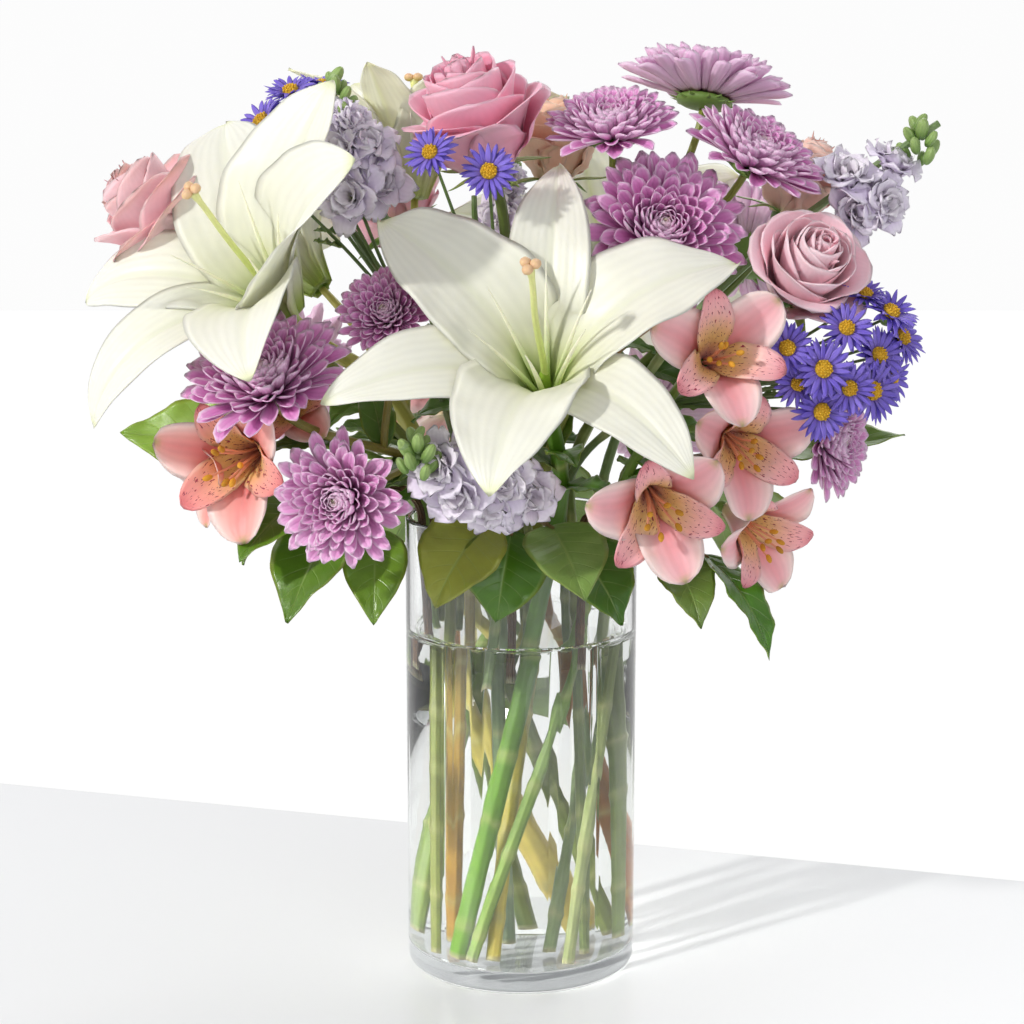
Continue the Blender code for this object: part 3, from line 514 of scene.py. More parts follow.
# chrysanthemum heads: centre of the back, axis, radius, depth
MUMS = {
    "mum_centre": ((55, -60, 326), (0.10, -0.86, 0.42), 32, 24),
    "mum_top_right": ((76, -14, 378), (0.15, 0.20, 0.95), 34, 20),
    "mum_right": ((91, -50, 353), (0.40, -0.40, 0.82), 28, 17),
    "mum_upper": ((36, -60, 364), (-0.10, -0.40, 0.90), 26, 17),
    "mum_left": ((-98, -98, 268), (-0.20, -0.60, 0.76), 31, 20),
    "mum_lower_left": ((-68, -102, 228), (-0.30, -0.90, 0.02), 26, 20),
    "mum_lower_right": ((122, -50, 243), (0.80, -0.56, 0.0), 23, 18),
    "mum_middle": ((-52, -84, 296), (-0.20, -0.85, 0.50), 19, 14),
    "mum_back_right": ((100, 58, 310), (0.62, 0.66, 0.42), 33, 22),
    "mum_back_left": ((-100, 88, 252), (-0.62, 0.76, 0.16), 32, 22),
    "mum_back_low": ((62, 104, 232), (0.40, 0.90, 0.10), 30, 21),
}

# Peruvian lily heads: base, axis, scale, roll
ALSTROS = {
    "alstro_upper": ((72, -84, 279), (0.18, -0.94, 0.26), 0.95, 10),
    "alstro_lower": ((50, -74, 228), (0.16, -0.94, -0.22), 1.0, 20),
    "alstro_middle": ((82, -60, 248), (0.30, -0.90, -0.16), 0.92, 0),
    "alstro_side": ((86, -38, 212), (0.50, -0.68, -0.30), 0.9, 30),
    "alstro_left": ((-106, -54, 240), (-0.36, -0.88, -0.05), 1.05, 15),
    "alstro_back": ((-34, 92, 236), (-0.25, 0.94, 0.0), 1.0, 0),
}

# stems in the vase: cut end, mouth, radius at the cut end and at the head
STEMS = {
    "stem_lily_left": ((17, 24), (-36, 14), 4.4, 3.2),
    "stem_lily_front": ((-25, -26), (14, -36), 3.9, 3.0),
    "stem_lily_back": ((-33, 10), (0, 40), 3.0, 3.0),
    "stem_rose_left": ((-34, -22), (-30, -8), 2.6, 2.2),
    "stem_rose_top": ((27, 14), (-16, 4), 2.8, 2.2),
    "stem_rose_right": ((19, -36), (41, -6), 2.6, 2.2),
    "stem_rose_top_back": ((2, 12, 142), (0, 14), 2.2, 2.0),
    "stem_rose_right_back": ((33, 2), (22, 30), 2.6, 2.2),
    "stem_rose_back": ((2, 38), (-22, 34), 2.5, 2.2),
    "stem_mum_right": ((-11, -30), (8, 10), 2.9, 2.0),
    "stem_mum_left": ((-22, 2), (-22, -26), 2.2, 1.8),
    "stem_mum_back": ((34, 18), (4, 26), 3.2, 2.0),
    "stem_alstro_right": ((-20, -32), (38, -22), 2.6, 1.8),
    "stem_alstro_left": ((-38, 8, 140), (-42, -2), 1.8, 1.6),
    "stem_mum_back_left": ((-36, 18, 142), (-40, 20), 2.0, 1.8),
    "stem_alstro_back": ((-12, 42, 142), (-16, 41), 1.8, 1.6),
}


# ------------------------------------------------------------------ colours
def srgb(r, g, b):
    c = np.array([r, g, b]) / 255.0
    return np.where(c <= 0.04045, c / 12.92, ((c + 0.055) / 1.055) ** 2.4)


def mixc(a, b, f):
    f = np.clip(np.asarray(f, float), 0, 1)[..., None]
    return a * (1 - f) + b * f


def flat(colour, vary=0.0):
    return lambda t, s, side, rnd: np.repeat((colour * (1 + vary * (rnd - 0.5)))[None], len(t), 0)


def rng_of(name):
    return random.Random(sum(ord(c) * (i + 3) for i, c in enumerate(name)))


# ------------------------------------------------------------------- lilies
def lily_prof(t):
    return np.maximum(0.02, np.sin(np.pi * np.clip(0.12 + 0.88 * t, 0, 1) ** 1.22) ** 0.82)


def lily_colour(yellow=0.0):
    white, cream, green = srgb(240, 240, 229), srgb(234, 232, 200), srgb(146, 174, 58)
    under = srgb(236, 240, 220)

    def colour(t, s, side, rnd):
        c = mixc(np.repeat(white[None], len(t), 0), cream, 0.25 + 0.3 * (1 - t))
        c = mixc(c, under, np.where(side < 0, 0.7, 0.0))
        rib = np.exp(-(s / 0.10) ** 2)
        c = mixc(c, srgb(196, 210, 130), rib * np.where(side < 0, 0.75, 0.22) * (1 - 0.6 * t))
        c = mixc(c, srgb(205, 214, 120), np.exp(-(t / 0.26) ** 2) * 0.75)
        c = mixc(c, green, np.exp(-(t / 0.13) ** 2) * 0.95)
        c = mixc(c, srgb(110, 150, 40), np.exp(-((t - 0.12) / 0.10) ** 2) * np.exp(-(s / 0.16) ** 2) * 0.8)
        c = mixc(c, srgb(214, 222, 150), smooth((t - 0.93) / 0.07) * 0.7)
        return mixc(c, srgb(236, 232, 170), yellow * np.ones_like(t))
    return colour


def lily(B, base, axis, petals, rng, width=40 * MM, pistil=78 * MM, yellow=0.0, stamens=6, wave=1.0):
    M = place(mm(base), axis)
    for i, (az, length, end, w) in enumerate(sorted(petals)):
        inner = w >= 1.0
        B.petal(M, length * MM, width * w * (1.14 if inner else 1.0), 14, end, lily_colour(yellow),
                az=math.radians(az), r0=3.2 * MM if inner else 3.8 * MM, z0=0.0 if inner else -0.8 * MM,
                cup=0.16 if inner else 0.10, tip=rng.uniform(-4, 10), tw=rng.uniform(-0.22, 0.22) * wave,
                sweep=rng.uniform(-0.05, 0.05), ruf=(1.7 if inner else 0.9) * MM * wave, rf=rng.uniform(2.0, 3.0),
                prof=lily_prof, nu=44, nv=17, thick=0.7 * MM, rnd=rng.random(), groove=1.3 * MM,
                wo=0.014, ph=rng.uniform(0, 6.3))
    P = lambda x, y, z: (M @ np.array([x * MM, y * MM, z * MM, 1]))[:3]
    g = srgb(186, 206, 110)
    B.blob(P(0, 0, 9), (2.6 * MM, 10 * MM), axis, flat(srgb(140, 172, 60)), mat=1, rnd=0.2)
    k = pistil / MM
    pts = [P(0, 0, 4), P(0.4, 0.2, 0.3 * k), P(-0.5, 0.8, 0.6 * k), P(0.2, 1.2, 0.85 * k), P(0, 1.5, 0.97 * k)]
    B.tube(pts, lambda t, l: (1.5 - 0.35 * t + 0.7 * smooth((t - 0.9) / 0.1)) * MM,
           lambda t, s, side, rnd: mixc(g[None] * np.ones((len(t), 1)), srgb(226, 226, 160), t), mat=1, sides=12, res=8)
    pink = srgb(224, 186, 146)
    for j in range(3):
        a = 2 * math.pi * j / 3 + 0.3
        B.blob(P(2.3 * math.cos(a), 1.5 + 2.3 * math.sin(a), 0.985 * k), (2.2 * MM, 1.8 * MM), axis,
               lambda t, s, side, rnd: mixc(srgb(190, 168, 110)[None] * np.ones((len(t), 1)), pink, smooth(t * 1.8)), mat=1, nu=8, nv=12, bump=0.05)
    for j in range(stamens):
        a = 2 * math.pi * (j + 0.5) / 6 + rng.uniform(-0.15, 0.15)
        out = rng.uniform(17, 24)
        h = 0.70 * k * rng.uniform(0.92, 1.04)
        ca, sa = math.cos(a), math.sin(a)
        pts = [P(2.6 * ca, 2.6 * sa, 3), P((3 + 0.3 * out) * ca, (3 + 0.3 * out) * sa, 0.4 * h),
               P((3 + 0.68 * out) * ca, (3 + 0.68 * out) * sa, 0.75 * h), P((3 + out) * ca, (3 + out) * sa, h)]
        B.tube(pts, lambda t, l: (1.15 * (1 - t ** 1.5) + 0.16) * MM,
               lambda t, s, side, rnd: mixc(srgb(176, 200, 96)[None] * np.ones((len(t), 1)), srgb(246, 244, 222), smooth(t / 0.7)), mat=1, sides=9, res=7)


# -------------------------------------------------------------------- roses
def rose_prof(t):
    return (0.34 + 0.66 * smooth(t / 0.55)) * np.sqrt(np.clip(1 - np.clip((t - 0.5) / 0.505, 0, 1) ** 2.6, 0.02, 1))


def rose(B, base, axis, radius, height, rng, tone, deep, edge, count=27, brown=0.0):
    M = place(mm(base), axis, rng.uniform(0, 360))
    R, H = radius * MM, height * MM

    for i in range(count):
        u = i / (count - 1.0)
        out = smooth((u - 0.55) / 0.45)
        heart = 1 - smooth(u / 0.4)

        def colour(t, s, side, rnd, u=u, heart=float(heart)):
            c = mixc(np.repeat(tone[None], len(t), 0), deep, 0.85 * heart + 0.25 * (1 - u) * (1 - t))
            c = mixc(c, edge, smooth((t - 0.45) / 0.55) * (0.35 + 0.35 * u) * np.where(side > 0, 0.6, 1.0))
            c = mixc(c, edge * 0.97, np.where(side < 0, 0.22, 0.0))
            c = mixc(c, srgb(222, 220, 150), np.exp(-(t / 0.13) ** 2) * 0.7)
            rim = smooth((t - 0.86) / 0.14) + 0.6 * smooth((np.abs(s) - 0.86) / 0.14) * smooth((t - 0.3) / 0.4)
            c = mixc(c, srgb(176, 112, 84), np.clip(rim, 0, 1) * (brown + 0.10) * rnd)
            return c
        L = H * (0.80 + 0.16 * (1 - u) + 0.03 * rng.uniform(-1, 1)) * (1 - 0.06 * out)
        th0 = 6 + 50 * u ** 0.8
        th1 = -14 - 16 * heart + 20 * u + 16 * out + rng.uniform(-4, 4)
        B.petal(M, L, R * (0.85 + 1.05 * min(1, u * 1.4)), th0, th1, colour,
                az=i * GOLD + rng.uniform(-0.12, 0.12), p=0.75, r0=R * (0.02 + 0.16 * u), z0=3 * MM + H * 0.05 * (1 - u),
                cup=-0.05 + 0.16 * (1 - out), tip=(10 + 74 * out) * (0.6 + 0.5 * rng.random()) * smooth((u - 0.12) / 0.25),
                tw=rng.uniform(-0.1, 0.1), ruf=(0.35 + 1.1 * out) * MM, rf=rng.uniform(1.4, 2.4), prof=rose_prof,
                nu=20, nv=15, thick=0.55 * MM, rnd=rng.random(), wk=1.0, wo=0.9 * MM + 6 * MM * out, ph=rng.uniform(0, 6))
    gr = srgb(96, 128, 52)
    B.blob(M[:3, 3] + M[:3, 2] * 2.6 * MM, (5.2 * MM, 5.4 * MM), axis, flat(gr), mat=1)
    for j in range(5):
        B.petal(M, 22 * MM, 6.5 * MM, 75, 118 + rng.uniform(-25, 20), lambda t, s, side, rnd: mixc(gr[None] * np.ones((len(t), 1)), srgb(150, 168, 92), np.where(side < 0, 0.1, 0.7)),
                az=2 * math.pi * j / 5 + 0.4, r0=3 * MM, z0=3.2 * MM, cup=0.25, tip=-20, tw=rng.uniform(-0.6, 0.6),
                prof=lambda t: np.maximum(0.04, (1 - t) ** 0.7 * (0.7 + 0.3 * np.sin(3 * t))), nu=10, nv=5, mat=1, rnd=rng.random())


# ----------------------------------------------------------- chrysanthemums
def mum_prof(t):
    return (0.42 + 0.58 * smooth(t / 0.75)) * np.sqrt(np.clip(1 - np.clip((t - 0.72) / 0.285, 0, 1) ** 2.4, 0.03, 1))


def mum(B, base, axis, radius, depth, rng, count=None, pale=0.0):
    M = place(mm(base), axis, rng.uniform(0, 360))
    R, D = radius * MM, depth * MM
    n = count or int(90 + radius * 2.1)
    dark, mauve, light = srgb(166, 56, 128), srgb(222, 142, 202), srgb(251, 228, 246)
    for i in range(n):
        u = (i / (n - 1.0)) ** 0.92
        k = rng.uniform(0.93, 1.07)

        def colour(t, s, side, rnd, u=u):
            c = mixc(np.repeat(dark[None], len(t), 0), mauve, smooth((t - 0.02) / (0.5 - 0.2 * u)) * 0.96)
            c = mixc(c, light, smooth((np.abs(s) - 0.62) / 0.38) * 0.62 + smooth((t - 0.82) / 0.18) * 0.42)
            c = mixc(c, light * 0.96, np.where(side < 0, 0.62, 0.0))
            c = mixc(c, light, pale + 0.25 * (rnd - 0.5) * (rnd > 0.5))
            c = mixc(c, dark, 0.36 * (1 - u) * (1 - t) + 0.10 * (1 - u))
            return mixc(c, srgb(206, 214, 120), 0.55 * np.exp(-(u / 0.035)))
        L = R * (0.34 + 0.50 * u) * k
        B.petal(M, L, R * (0.17 + 0.07 * u) * rng.uniform(0.9, 1.12), 4 + 74 * u ** 0.85, -22 + 104 * u ** 1.1 + rng.uniform(-9, 9), colour,
                az=i * GOLD + rng.uniform(-0.1, 0.1), p=1.2, r0=R * 0.30 * math.sqrt(u), z0=1.2 * MM + D * (0.30 - 0.14 * u),
                cup=0.75 - 0.25 * u, tip=rng.uniform(-26, 12), tw=rng.uniform(-0.25, 0.25), sweep=rng.uniform(-0.1, 0.1),
                prof=mum_prof, nu=10, nv=7, thick=0.45 * MM, rnd=rng.random(), wk=0, wo=1.0, notch=0.0)
    gr = srgb(110, 140, 66)
    B.blob(M[:3, 3] + M[:3, 2] * 2.8 * MM, (R * 0.36, 3.6 * MM), axis, flat(gr), mat=1, nv=16)
    for j in range(16):
        B.petal(M, R * 0.34, R * 0.14, 86, 74, flat(gr, 0.4), az=j * GOLD, r0=R * 0.12, z0=0.5 * MM + 0.1 * MM * j, cup=0.2,
                prof=lambda t: np.maximum(0.06, np.sin(np.pi * np.clip(0.3 + 0.7 * t, 0, 1))), nu=6, nv=3, mat=1, rnd=rng.random(), wk=0, wo=1.0)


# ---------------------------------------------------- small flowers of sprays
def small_prof(t):
    return (0.3 + 0.7 * smooth(t / 0.6)) * np.sqrt(np.clip(1 - np.clip((t - 0.6) / 0.41, 0, 1) ** 2.2, 0.03, 1))


def stock_flower(B, c, axis, r, rng):
    M = place(mm(c), axis, rng.uniform(0, 360))
    r = r * MM
    M[:3, 3] -= M[:3, 2] * r * 0.62
    a, b, g = srgb(241, 232, 249), srgb(218, 198, 236), srgb(224, 228, 172)
    for i in range(13):
        u = i / 12.0

        def colour(t, s, side, rnd, u=u):
            c = mixc(np.repeat(a[None], len(t), 0), b, 0.25 + 0.45 * (1 - t) + 0.3 * (rnd - 0.5))
            c = mixc(c, g, np.exp(-(t / 0.25) ** 2) * 0.8 + 0.22 * (1 - u))
            return mixc(c, srgb(240, 234, 246), smooth((t - 0.7) / 0.3) * 0.5)
        B.petal(M, r * (0.85 + 0.35 * u), r * (0.75 + 0.35 * u), 4 + 40 * u, 22 + 80 * u + rng.uniform(-9, 9), colour,
                az=i * GOLD, r0=r * 0.05, cup=0.05, ruf=r * 0.13, rf=rng.uniform(1.6, 2.6), tw=rng.uniform(-0.5, 0.5), z0=0,
                prof=small_prof, nu=11, nv=9, thick=0.45 * MM, rnd=rng.random(), wk=0.6, wo=3 * MM, notch=r * 0.12, ph=rng.uniform(0, 6))
    B.tube([M[:3, 3] - M[:3, 2] * 5 * MM, M[:3, 3] + M[:3, 2] * 2.5 * MM], [1.1 * MM, 2.1 * MM], flat(srgb(130, 156, 96)), mat=1, sides=8)


def bud(B, c, axis, r, rng, tip=(150, 176, 104)):
    B.blob(c, (r * 0.52, r), axis, lambda t, s, side, rnd: mixc(srgb(112, 146, 70)[None] * np.ones((len(t), 1)), srgb(*tip), smooth(t)), mat=1, nu=8, nv=10, bump=0.08, rnd=rng.random())


def aster(B, c, axis, r, rng):
    M = place(mm(c), axis, rng.uniform(0, 360))
    r = r * 1.16 * MM
    v, w = srgb(104, 84, 196), srgb(150, 130, 222)
    for row in range(2):
        m = 19 - 2 * row
        for i in range(m):
            B.petal(M, r * rng.uniform(0.72, 0.86) * (1 - 0.06 * row), r * rng.uniform(0.17, 0.22), 74 - 14 * row, 94 - 12 * row + rng.uniform(-20, 16),
                    lambda t, s, side, rnd: mixc(mixc(np.repeat(v[None], len(t), 0), w, 0.5 * rnd + 0.3 * np.abs(s)), srgb(70, 50, 150), np.exp(-(t / 0.2) ** 2) * 0.6),
                    az=2 * math.pi * (i + 0.5 * row) / m + rng.uniform(-0.08, 0.08), r0=r * 0.2, z0=0.8 * MM * row, cup=0.35, tip=rng.uniform(-15, 20), tw=rng.uniform(-0.6, 0.6),
                    prof=lambda t: (0.55 + 0.45 * np.sin(np.pi * t)) * np.sqrt(np.clip(1 - t ** 6, 0.03, 1)), nu=9, nv=4, thick=0.35 * MM, rnd=rng.random(), wk=0, wo=1.0)
    B.blob(M[:3, 3] + M[:3, 2] * 1.1 * MM, (r * 0.30, r * 0.20), axis, lambda t, s, side, rnd: mixc(srgb(150, 110, 20)[None] * np.ones((len(t), 1)), srgb(222, 176, 40), t), mat=2, nu=8, nv=14)
    for i in range(26):
        d = math.sqrt((i + 0.5) / 26) * r * 0.27
        a = i * GOLD
        top = r * 0.20 * math.sqrt(max(0.05, 1 - (d / (r * 0.31)) ** 2))
        p = M @ np.array([d * math.cos(a), d * math.sin(a), 1.2 * MM + top, 1])
        B.blob(p[:3], (0.5 * MM, 0.75 * MM), axis, flat(srgb(226, 180, 50), 0.3), mat=2, nu=4, nv=5, rnd=rng.random())
    B.blob(M[:3, 3] - M[:3, 2] * 1.6 * MM, (r * 0.27, r * 0.30), axis, flat(srgb(96, 126, 60)), mat=1)


# ----------------------------------------------------------- Peruvian lilies
def alstro_prof(t):
    return np.maximum(0.03, (0.28 + 0.72 * smooth(t / 0.6)) * np.clip(1 - np.clip((t - 0.62) / 0.385, 0, 1) ** 2.8, 0, 1) ** 0.62)


def alstro(B, base, axis, size, roll, rng, tone=(248, 192, 196), deep=(232, 130, 144), open_=1.0):
    M = place(mm(base), axis, roll, size)
    pink, coral, yellow = srgb(*tone), srgb(*deep), srgb(246, 212, 116)
    for i in range(6):
        narrow = i % 2 == 1

        def outer(t, s, side, rnd):
            c = mixc(np.repeat(pink[None], len(t), 0), coral, 0.6 * np.exp(-(s / 0.3) ** 2) * (1 - 0.4 * t) + 0.25 * (1 - t))
            c = mixc(c, srgb(252, 224, 218), smooth((np.abs(s) - 0.35) / 0.6) * 0.85)
            c = mixc(c, srgb(236, 210, 150), np.exp(-(t / 0.22) ** 2) * 0.8)
            return mixc(c, srgb(150, 168, 84), smooth((t - 0.9) / 0.1) * np.exp(-(s / 0.35) ** 2) * 0.8)

        def inner(t, s, side, rnd):
            c = mixc(np.repeat(pink[None], len(t), 0), coral, 0.14 + 0.3 * smooth((t - 0.6) / 0.4))
            c = mixc(c, yellow, np.exp(-((t - 0.42) / 0.24) ** 2) * 0.74)
            return mixc(c, srgb(190, 70, 90), smooth((t - 0.86) / 0.14) * 0.55)
        B.petal(M, (44 if narrow else 47) * MM, (17 if narrow else 27) * MM, 12, (50 if narrow else 62) * open_ + rng.uniform(-6, 6), inner if narrow else outer,
                az=math.radians(30 + 60 * i), r0=(1.6 if narrow else 2.4) * MM, cup=0.22 if narrow else 0.14, tip=rng.uniform(10, 38), tw=rng.uniform(-0.25, 0.25),
                ruf=0.7 * MM, rf=2.4, prof=alstro_prof, nu=26, nv=11, thick=0.6 * MM, rnd=0.5 + 0.49 * rng.random() if narrow else 0.49 * rng.random(),
                groove=0.5 * MM, wo=4 * MM, ph=rng.uniform(0, 6))
    P = lambda x, y, z: (M @ np.array([x * MM, y * MM, z * MM, 1]))[:3]
    for j in range(6):
        a = 2 * math.pi * j / 6 + rng.uniform(-0.25, 0.25)
        o = rng.uniform(3.5, 8)
        h = rng.uniform(29, 36)
        pts = [P(1.2 * math.cos(a), 1.2 * math.sin(a), 3), P(0.4 * o * math.cos(a), 0.4 * o * math.sin(a) - 1, 0.5 * h), P(o * math.cos(a), o * math.sin(a) - 1.5, h)]
        B.tube(pts, [0.6 * MM * size, 0.45 * MM * size], flat(srgb(236, 170, 140)), mat=0, sides=7, res=6, rnd=0.1)
        B.blob(pts[-1], (1.25 * MM * size, 2.3 * MM * size), (axis[0] + 0.4 * math.cos(a), axis[1] + 0.2, axis[2] + 0.5 * math.sin(a)), flat(srgb(206, 148, 44), 0.4), mat=2, nu=7, nv=8, rnd=rng.random())
    B.blob(P(0, 0, -1.5), (3.0 * MM * size, 3.8 * MM * size), axis, flat(srgb(120, 150, 72)), mat=1)


# ------------------------------------------------------------ leaves, stems
def leaf_prof(t):
    return np.maximum(0.012, np.sin(np.pi * np.clip(t, 0, 1) ** 0.78) ** 0.82 * (1 - 0.25 * smooth((t - 0.6) / 0.4)))


def leaf(B, foot, d, length, width, droop, up, rng, tones, mat=0):
    x = Vector(d).normalized()
    z = Vector(up) - x * Vector(up).dot(x)
    z.normalize()
    y = z.cross(x)
    M = np.eye(4)
    M[:3, 0], M[:3, 1], M[:3, 2] = x, y, z
    M[:3, 3] = mm(foot)
    top, under = srgb(*tones[0]), srgb(*tones[1])

    def colour(t, s, side, rnd):
        c = mixc(np.repeat(top[None], len(t), 0), under, np.where(side < 0, 1.0, 0.0))
        c = mixc(c, srgb(150, 150, 60), smooth((np.abs(s) - 0.9) / 0.1) * 0.45 + 0.25 * (rnd - 0.4) * (rnd > 0.4))
        return c
    B.petal(M, length * MM * 1.02, width * MM * 1.04, 90, 90 + math.degrees(1.15 * droop), colour, r0=0.0, cup=0.20, tip=rng.uniform(-12, 22),
            tw=rng.uniform(-0.25, 0.25), ruf=0.9 * MM, rf=rng.uniform(2, 3.5), prof=leaf_prof, nu=30, nv=15, thick=0.55 * MM, mat=mat,
            rnd=rng.random(), groove=0.8 * MM, wk=0, wo=1.0, ph=rng.uniform(0, 6))


STEM_TONES = {
    "stem_lily_left": ((222, 200, 104), (196, 190, 96)), "stem_lily_front": ((112, 158, 40), (92, 136, 36)),
    "stem_lily_back": ((132, 158, 70), (110, 140, 56)), "stem_rose_left": ((150, 158, 82), (110, 122, 50)),
    "stem_rose_top": ((128, 142, 66), (98, 116, 48)), "stem_rose_right": ((178, 188, 128), (120, 140, 60)),
    "stem_rose_top_back": ((120, 140, 60), (110, 130, 50)), "stem_rose_right_back": ((126, 146, 72), (110, 130, 56)),
    "stem_rose_back": ((116, 134, 62), (104, 124, 52)), "stem_mum_right": ((204, 184, 74), (136, 146, 58)),
    "stem_mum_left": ((196, 150, 66), (136, 126, 54)), "stem_mum_back": ((186, 116, 46), (150, 112, 50)),
    "stem_mum_back_left": ((120, 138, 62), (110, 130, 56)), "stem_alstro_right": ((134, 164, 70), (118, 152, 62)),
    "stem_alstro_back": ((120, 150, 66), (112, 144, 60)), "stem_alstro_left": ((126, 156, 66), (120, 150, 62)), "stock_top_left": ((140, 160, 128), (124, 150, 100)),
    "stock_right": ((134, 152, 104), (124, 150, 96)), "stock_front": ((126, 150, 96), (120, 146, 90)),
    "stock_back": ((126, 150, 96), (120, 146, 90)), "aster_right": ((120, 134, 78), (92, 116, 60)),
    "aster_middle": ((110, 130, 70), (92, 116, 60)), "aster_top_left": ((110, 130, 70), (92, 116, 60)),
}


def stem_tube(B, name, bottom, path, r0, r1, rng, mat=0, woody=False):
    lo, hi = path[0], path[1]
    n = max(4, int((hi - lo).length / (3 * MM)))
    pts = [lo + (hi - lo) * (i / n) for i in range(n)] + path[1:]
    a, b = STEM_TONES.get(name, ((118, 84, 52), (96, 70, 44)))
    a, b = srgb(*a), srgb(*b)
    gaps = rng.uniform(30, 44) * MM
    nodes = [rng.uniform(14, 30) * MM + gaps * i + rng.uniform(-4, 4) * MM for i in range(14)]
    total = sum((q - p).length for p, q in zip(pts, pts[1:]))
    bulge = 0.10 if "lily" in name else 0.22

    def radii(t, l):
        k = np.clip(l / 0.19, 0, 1)
        far = np.clip((l - 0.19) / max(total - 0.19, 0.01), 0, 1)
        base = r0 * MM * (1 - 0.04 * k) * (1 - far) + r1 * MM * far
        swell = sum(np.exp(-((l - x) / (1.9 * MM)) ** 2) for x in nodes)
        return base * (1 + bulge * swell) * (1 + 0.02 * np.sin(l * 310 + r0))

    marks = np.array([x / total for x in nodes])

    def colour(t, s, side, rnd):
        c = mixc(np.repeat(a[None], len(t), 0), b, smooth(t * 1.6))
        near = np.exp(-((t[:, None] - marks[None]) * total / (2.2 * MM)) ** 2).sum(1)
        c = mixc(c, srgb(206, 204, 140) if not woody else srgb(150, 110, 70), near * 0.45)
        c = mixc(c, b * 0.8, 0.35 * np.clip(np.sin(t * 57 + s * 3.1) * np.sin(t * 23 + 1.7 * s), 0, 1))
        return mixc(c, srgb(226, 220, 176), np.where(t < 0.0008, 0.9, 0.0))
    B.tube(pts, radii, colour, mat=mat, sides=16)


def dress(B, path, rng, count):
    """Small stem leaves that fill the room under the flowers, above the mouth."""
    high = [i for i, p in enumerate(path) if 0.218 < p.z < path[-1].z - 0.022]
    if not high:
        return
    for k in range(count):
        p = path[high[int((k + 0.5) / count * len(high))]]
        a = k * GOLD + rng.uniform(0, 6.3) * (k == 0)
        out = Vector((p.x, p.y, 0)).normalized()
        d = out * 0.7 + Vector((math.cos(a), math.sin(a), 0)) * 0.7 + Vector((0, 0, rng.uniform(-0.1, 0.6)))
        g = rng.uniform(0.85, 1.12)
        leaf(B, (p.x / MM, p.y / MM, p.z / MM), d, rng.uniform(26, 40), rng.uniform(11, 17), rng.uniform(0.3, 0.8), (0, -0.5, 0.9), rng,
             ((74 * g, 116 * g, 28 * g), (112 * g, 142 * g, 70 * g)), mat=1)


def bore(*a):
    return None


def stem(name, heads, kind="stem", lift=0.35):
    bottom, mouth, r0, r1 = STEMS[name]
    rng = rng_of(name)
    B = Build()
    first = heads[0]
    coarse = route(bottom, mouth, first[0], first[1], first[2], lift=lift)
    fine = route(bottom, mouth, first[0], first[1], first[2] * 0.3, count=28, lift=lift)
    stem_tube(B, name, bottom, fine, r0, r1, rng)
    b = srgb(*STEM_TONES[name][1])
    for base, axis, gap, at in heads[1:]:
        start = coarse[1 + at] if at >= 0 else coarse[1]
        B.tube(twig(start, base, axis, gap * 0.3, count=18), [r1 * MM * 0.9, 1.6 * MM], flat(b), sides=12)
    if "lily_left" not in name:
        dress(B, fine, rng, 3 if "lily" in name else 5)
    B.make(name + "_finish", [STEM, LEAF2], name, "cut_stem")


SPRAY_SLOT = {"stock": "stock_floret", "aster": "aster_petal", "leaf": "salal_leaf"}
SPRAY_MATS = {"stock": [STOCK, STEM, GREEN], "aster": [ASTER, STEM, DISC], "leaf": [LEAF, STEM, BARK]}


def spray(name, bottom, mouth, tip, axis, r0, r1, items, kind, count=4):
    rng = rng_of(name)
    B = Build()
    coarse = route(bottom, mouth, mm(tip), axis, 0.0, count)
    fine = route(bottom, mouth, mm(tip), axis, 0.0, 28)
    stem_tube(B, name, bottom, fine, r0, r1, rng, mat=2 if kind == "leaf" else 1, woody=kind == "leaf")
    items(B, coarse, fine, rng)
    B.make(name + "_finish", SPRAY_MATS[kind], name, SPRAY_SLOT[kind])


def florets(rows):
    def make(B, coarse, fine, rng):
        for c, axis, r, k in rows:
            if r <= 8.5:
                for j in range(12):
                    a = j * GOLD
                    o = r * 0.95 * math.sqrt(j / 12.0)
                    p = mm((c[0] + o * math.cos(a), c[1] + o * math.sin(a), c[2] + r * (0.8 - 0.17 * j)))
                    bud(B, p, (0.7 * math.cos(a), 0.7 * math.sin(a), 1), r * rng.uniform(0.46, 0.66) * MM, rng)
            elif tuple(axis) == UP or r > 12.5 or axis[2] == 1:
                for j in range(6):
                    a = j * math.pi / 3 + rng.uniform(-0.2, 0.2)
                    d = Vector((math.cos(a), math.sin(a), rng.uniform(-0.2, 0.6)))
                    stock_flower(B, (c[0] + d.x * r * 0.55, c[1] + d.y * r * 0.55, c[2] + d.z * r * 0.6), d, r * 0.9, rng)
            else:
                stock_flower(B, c, axis, r * 1.38, rng)
    return make


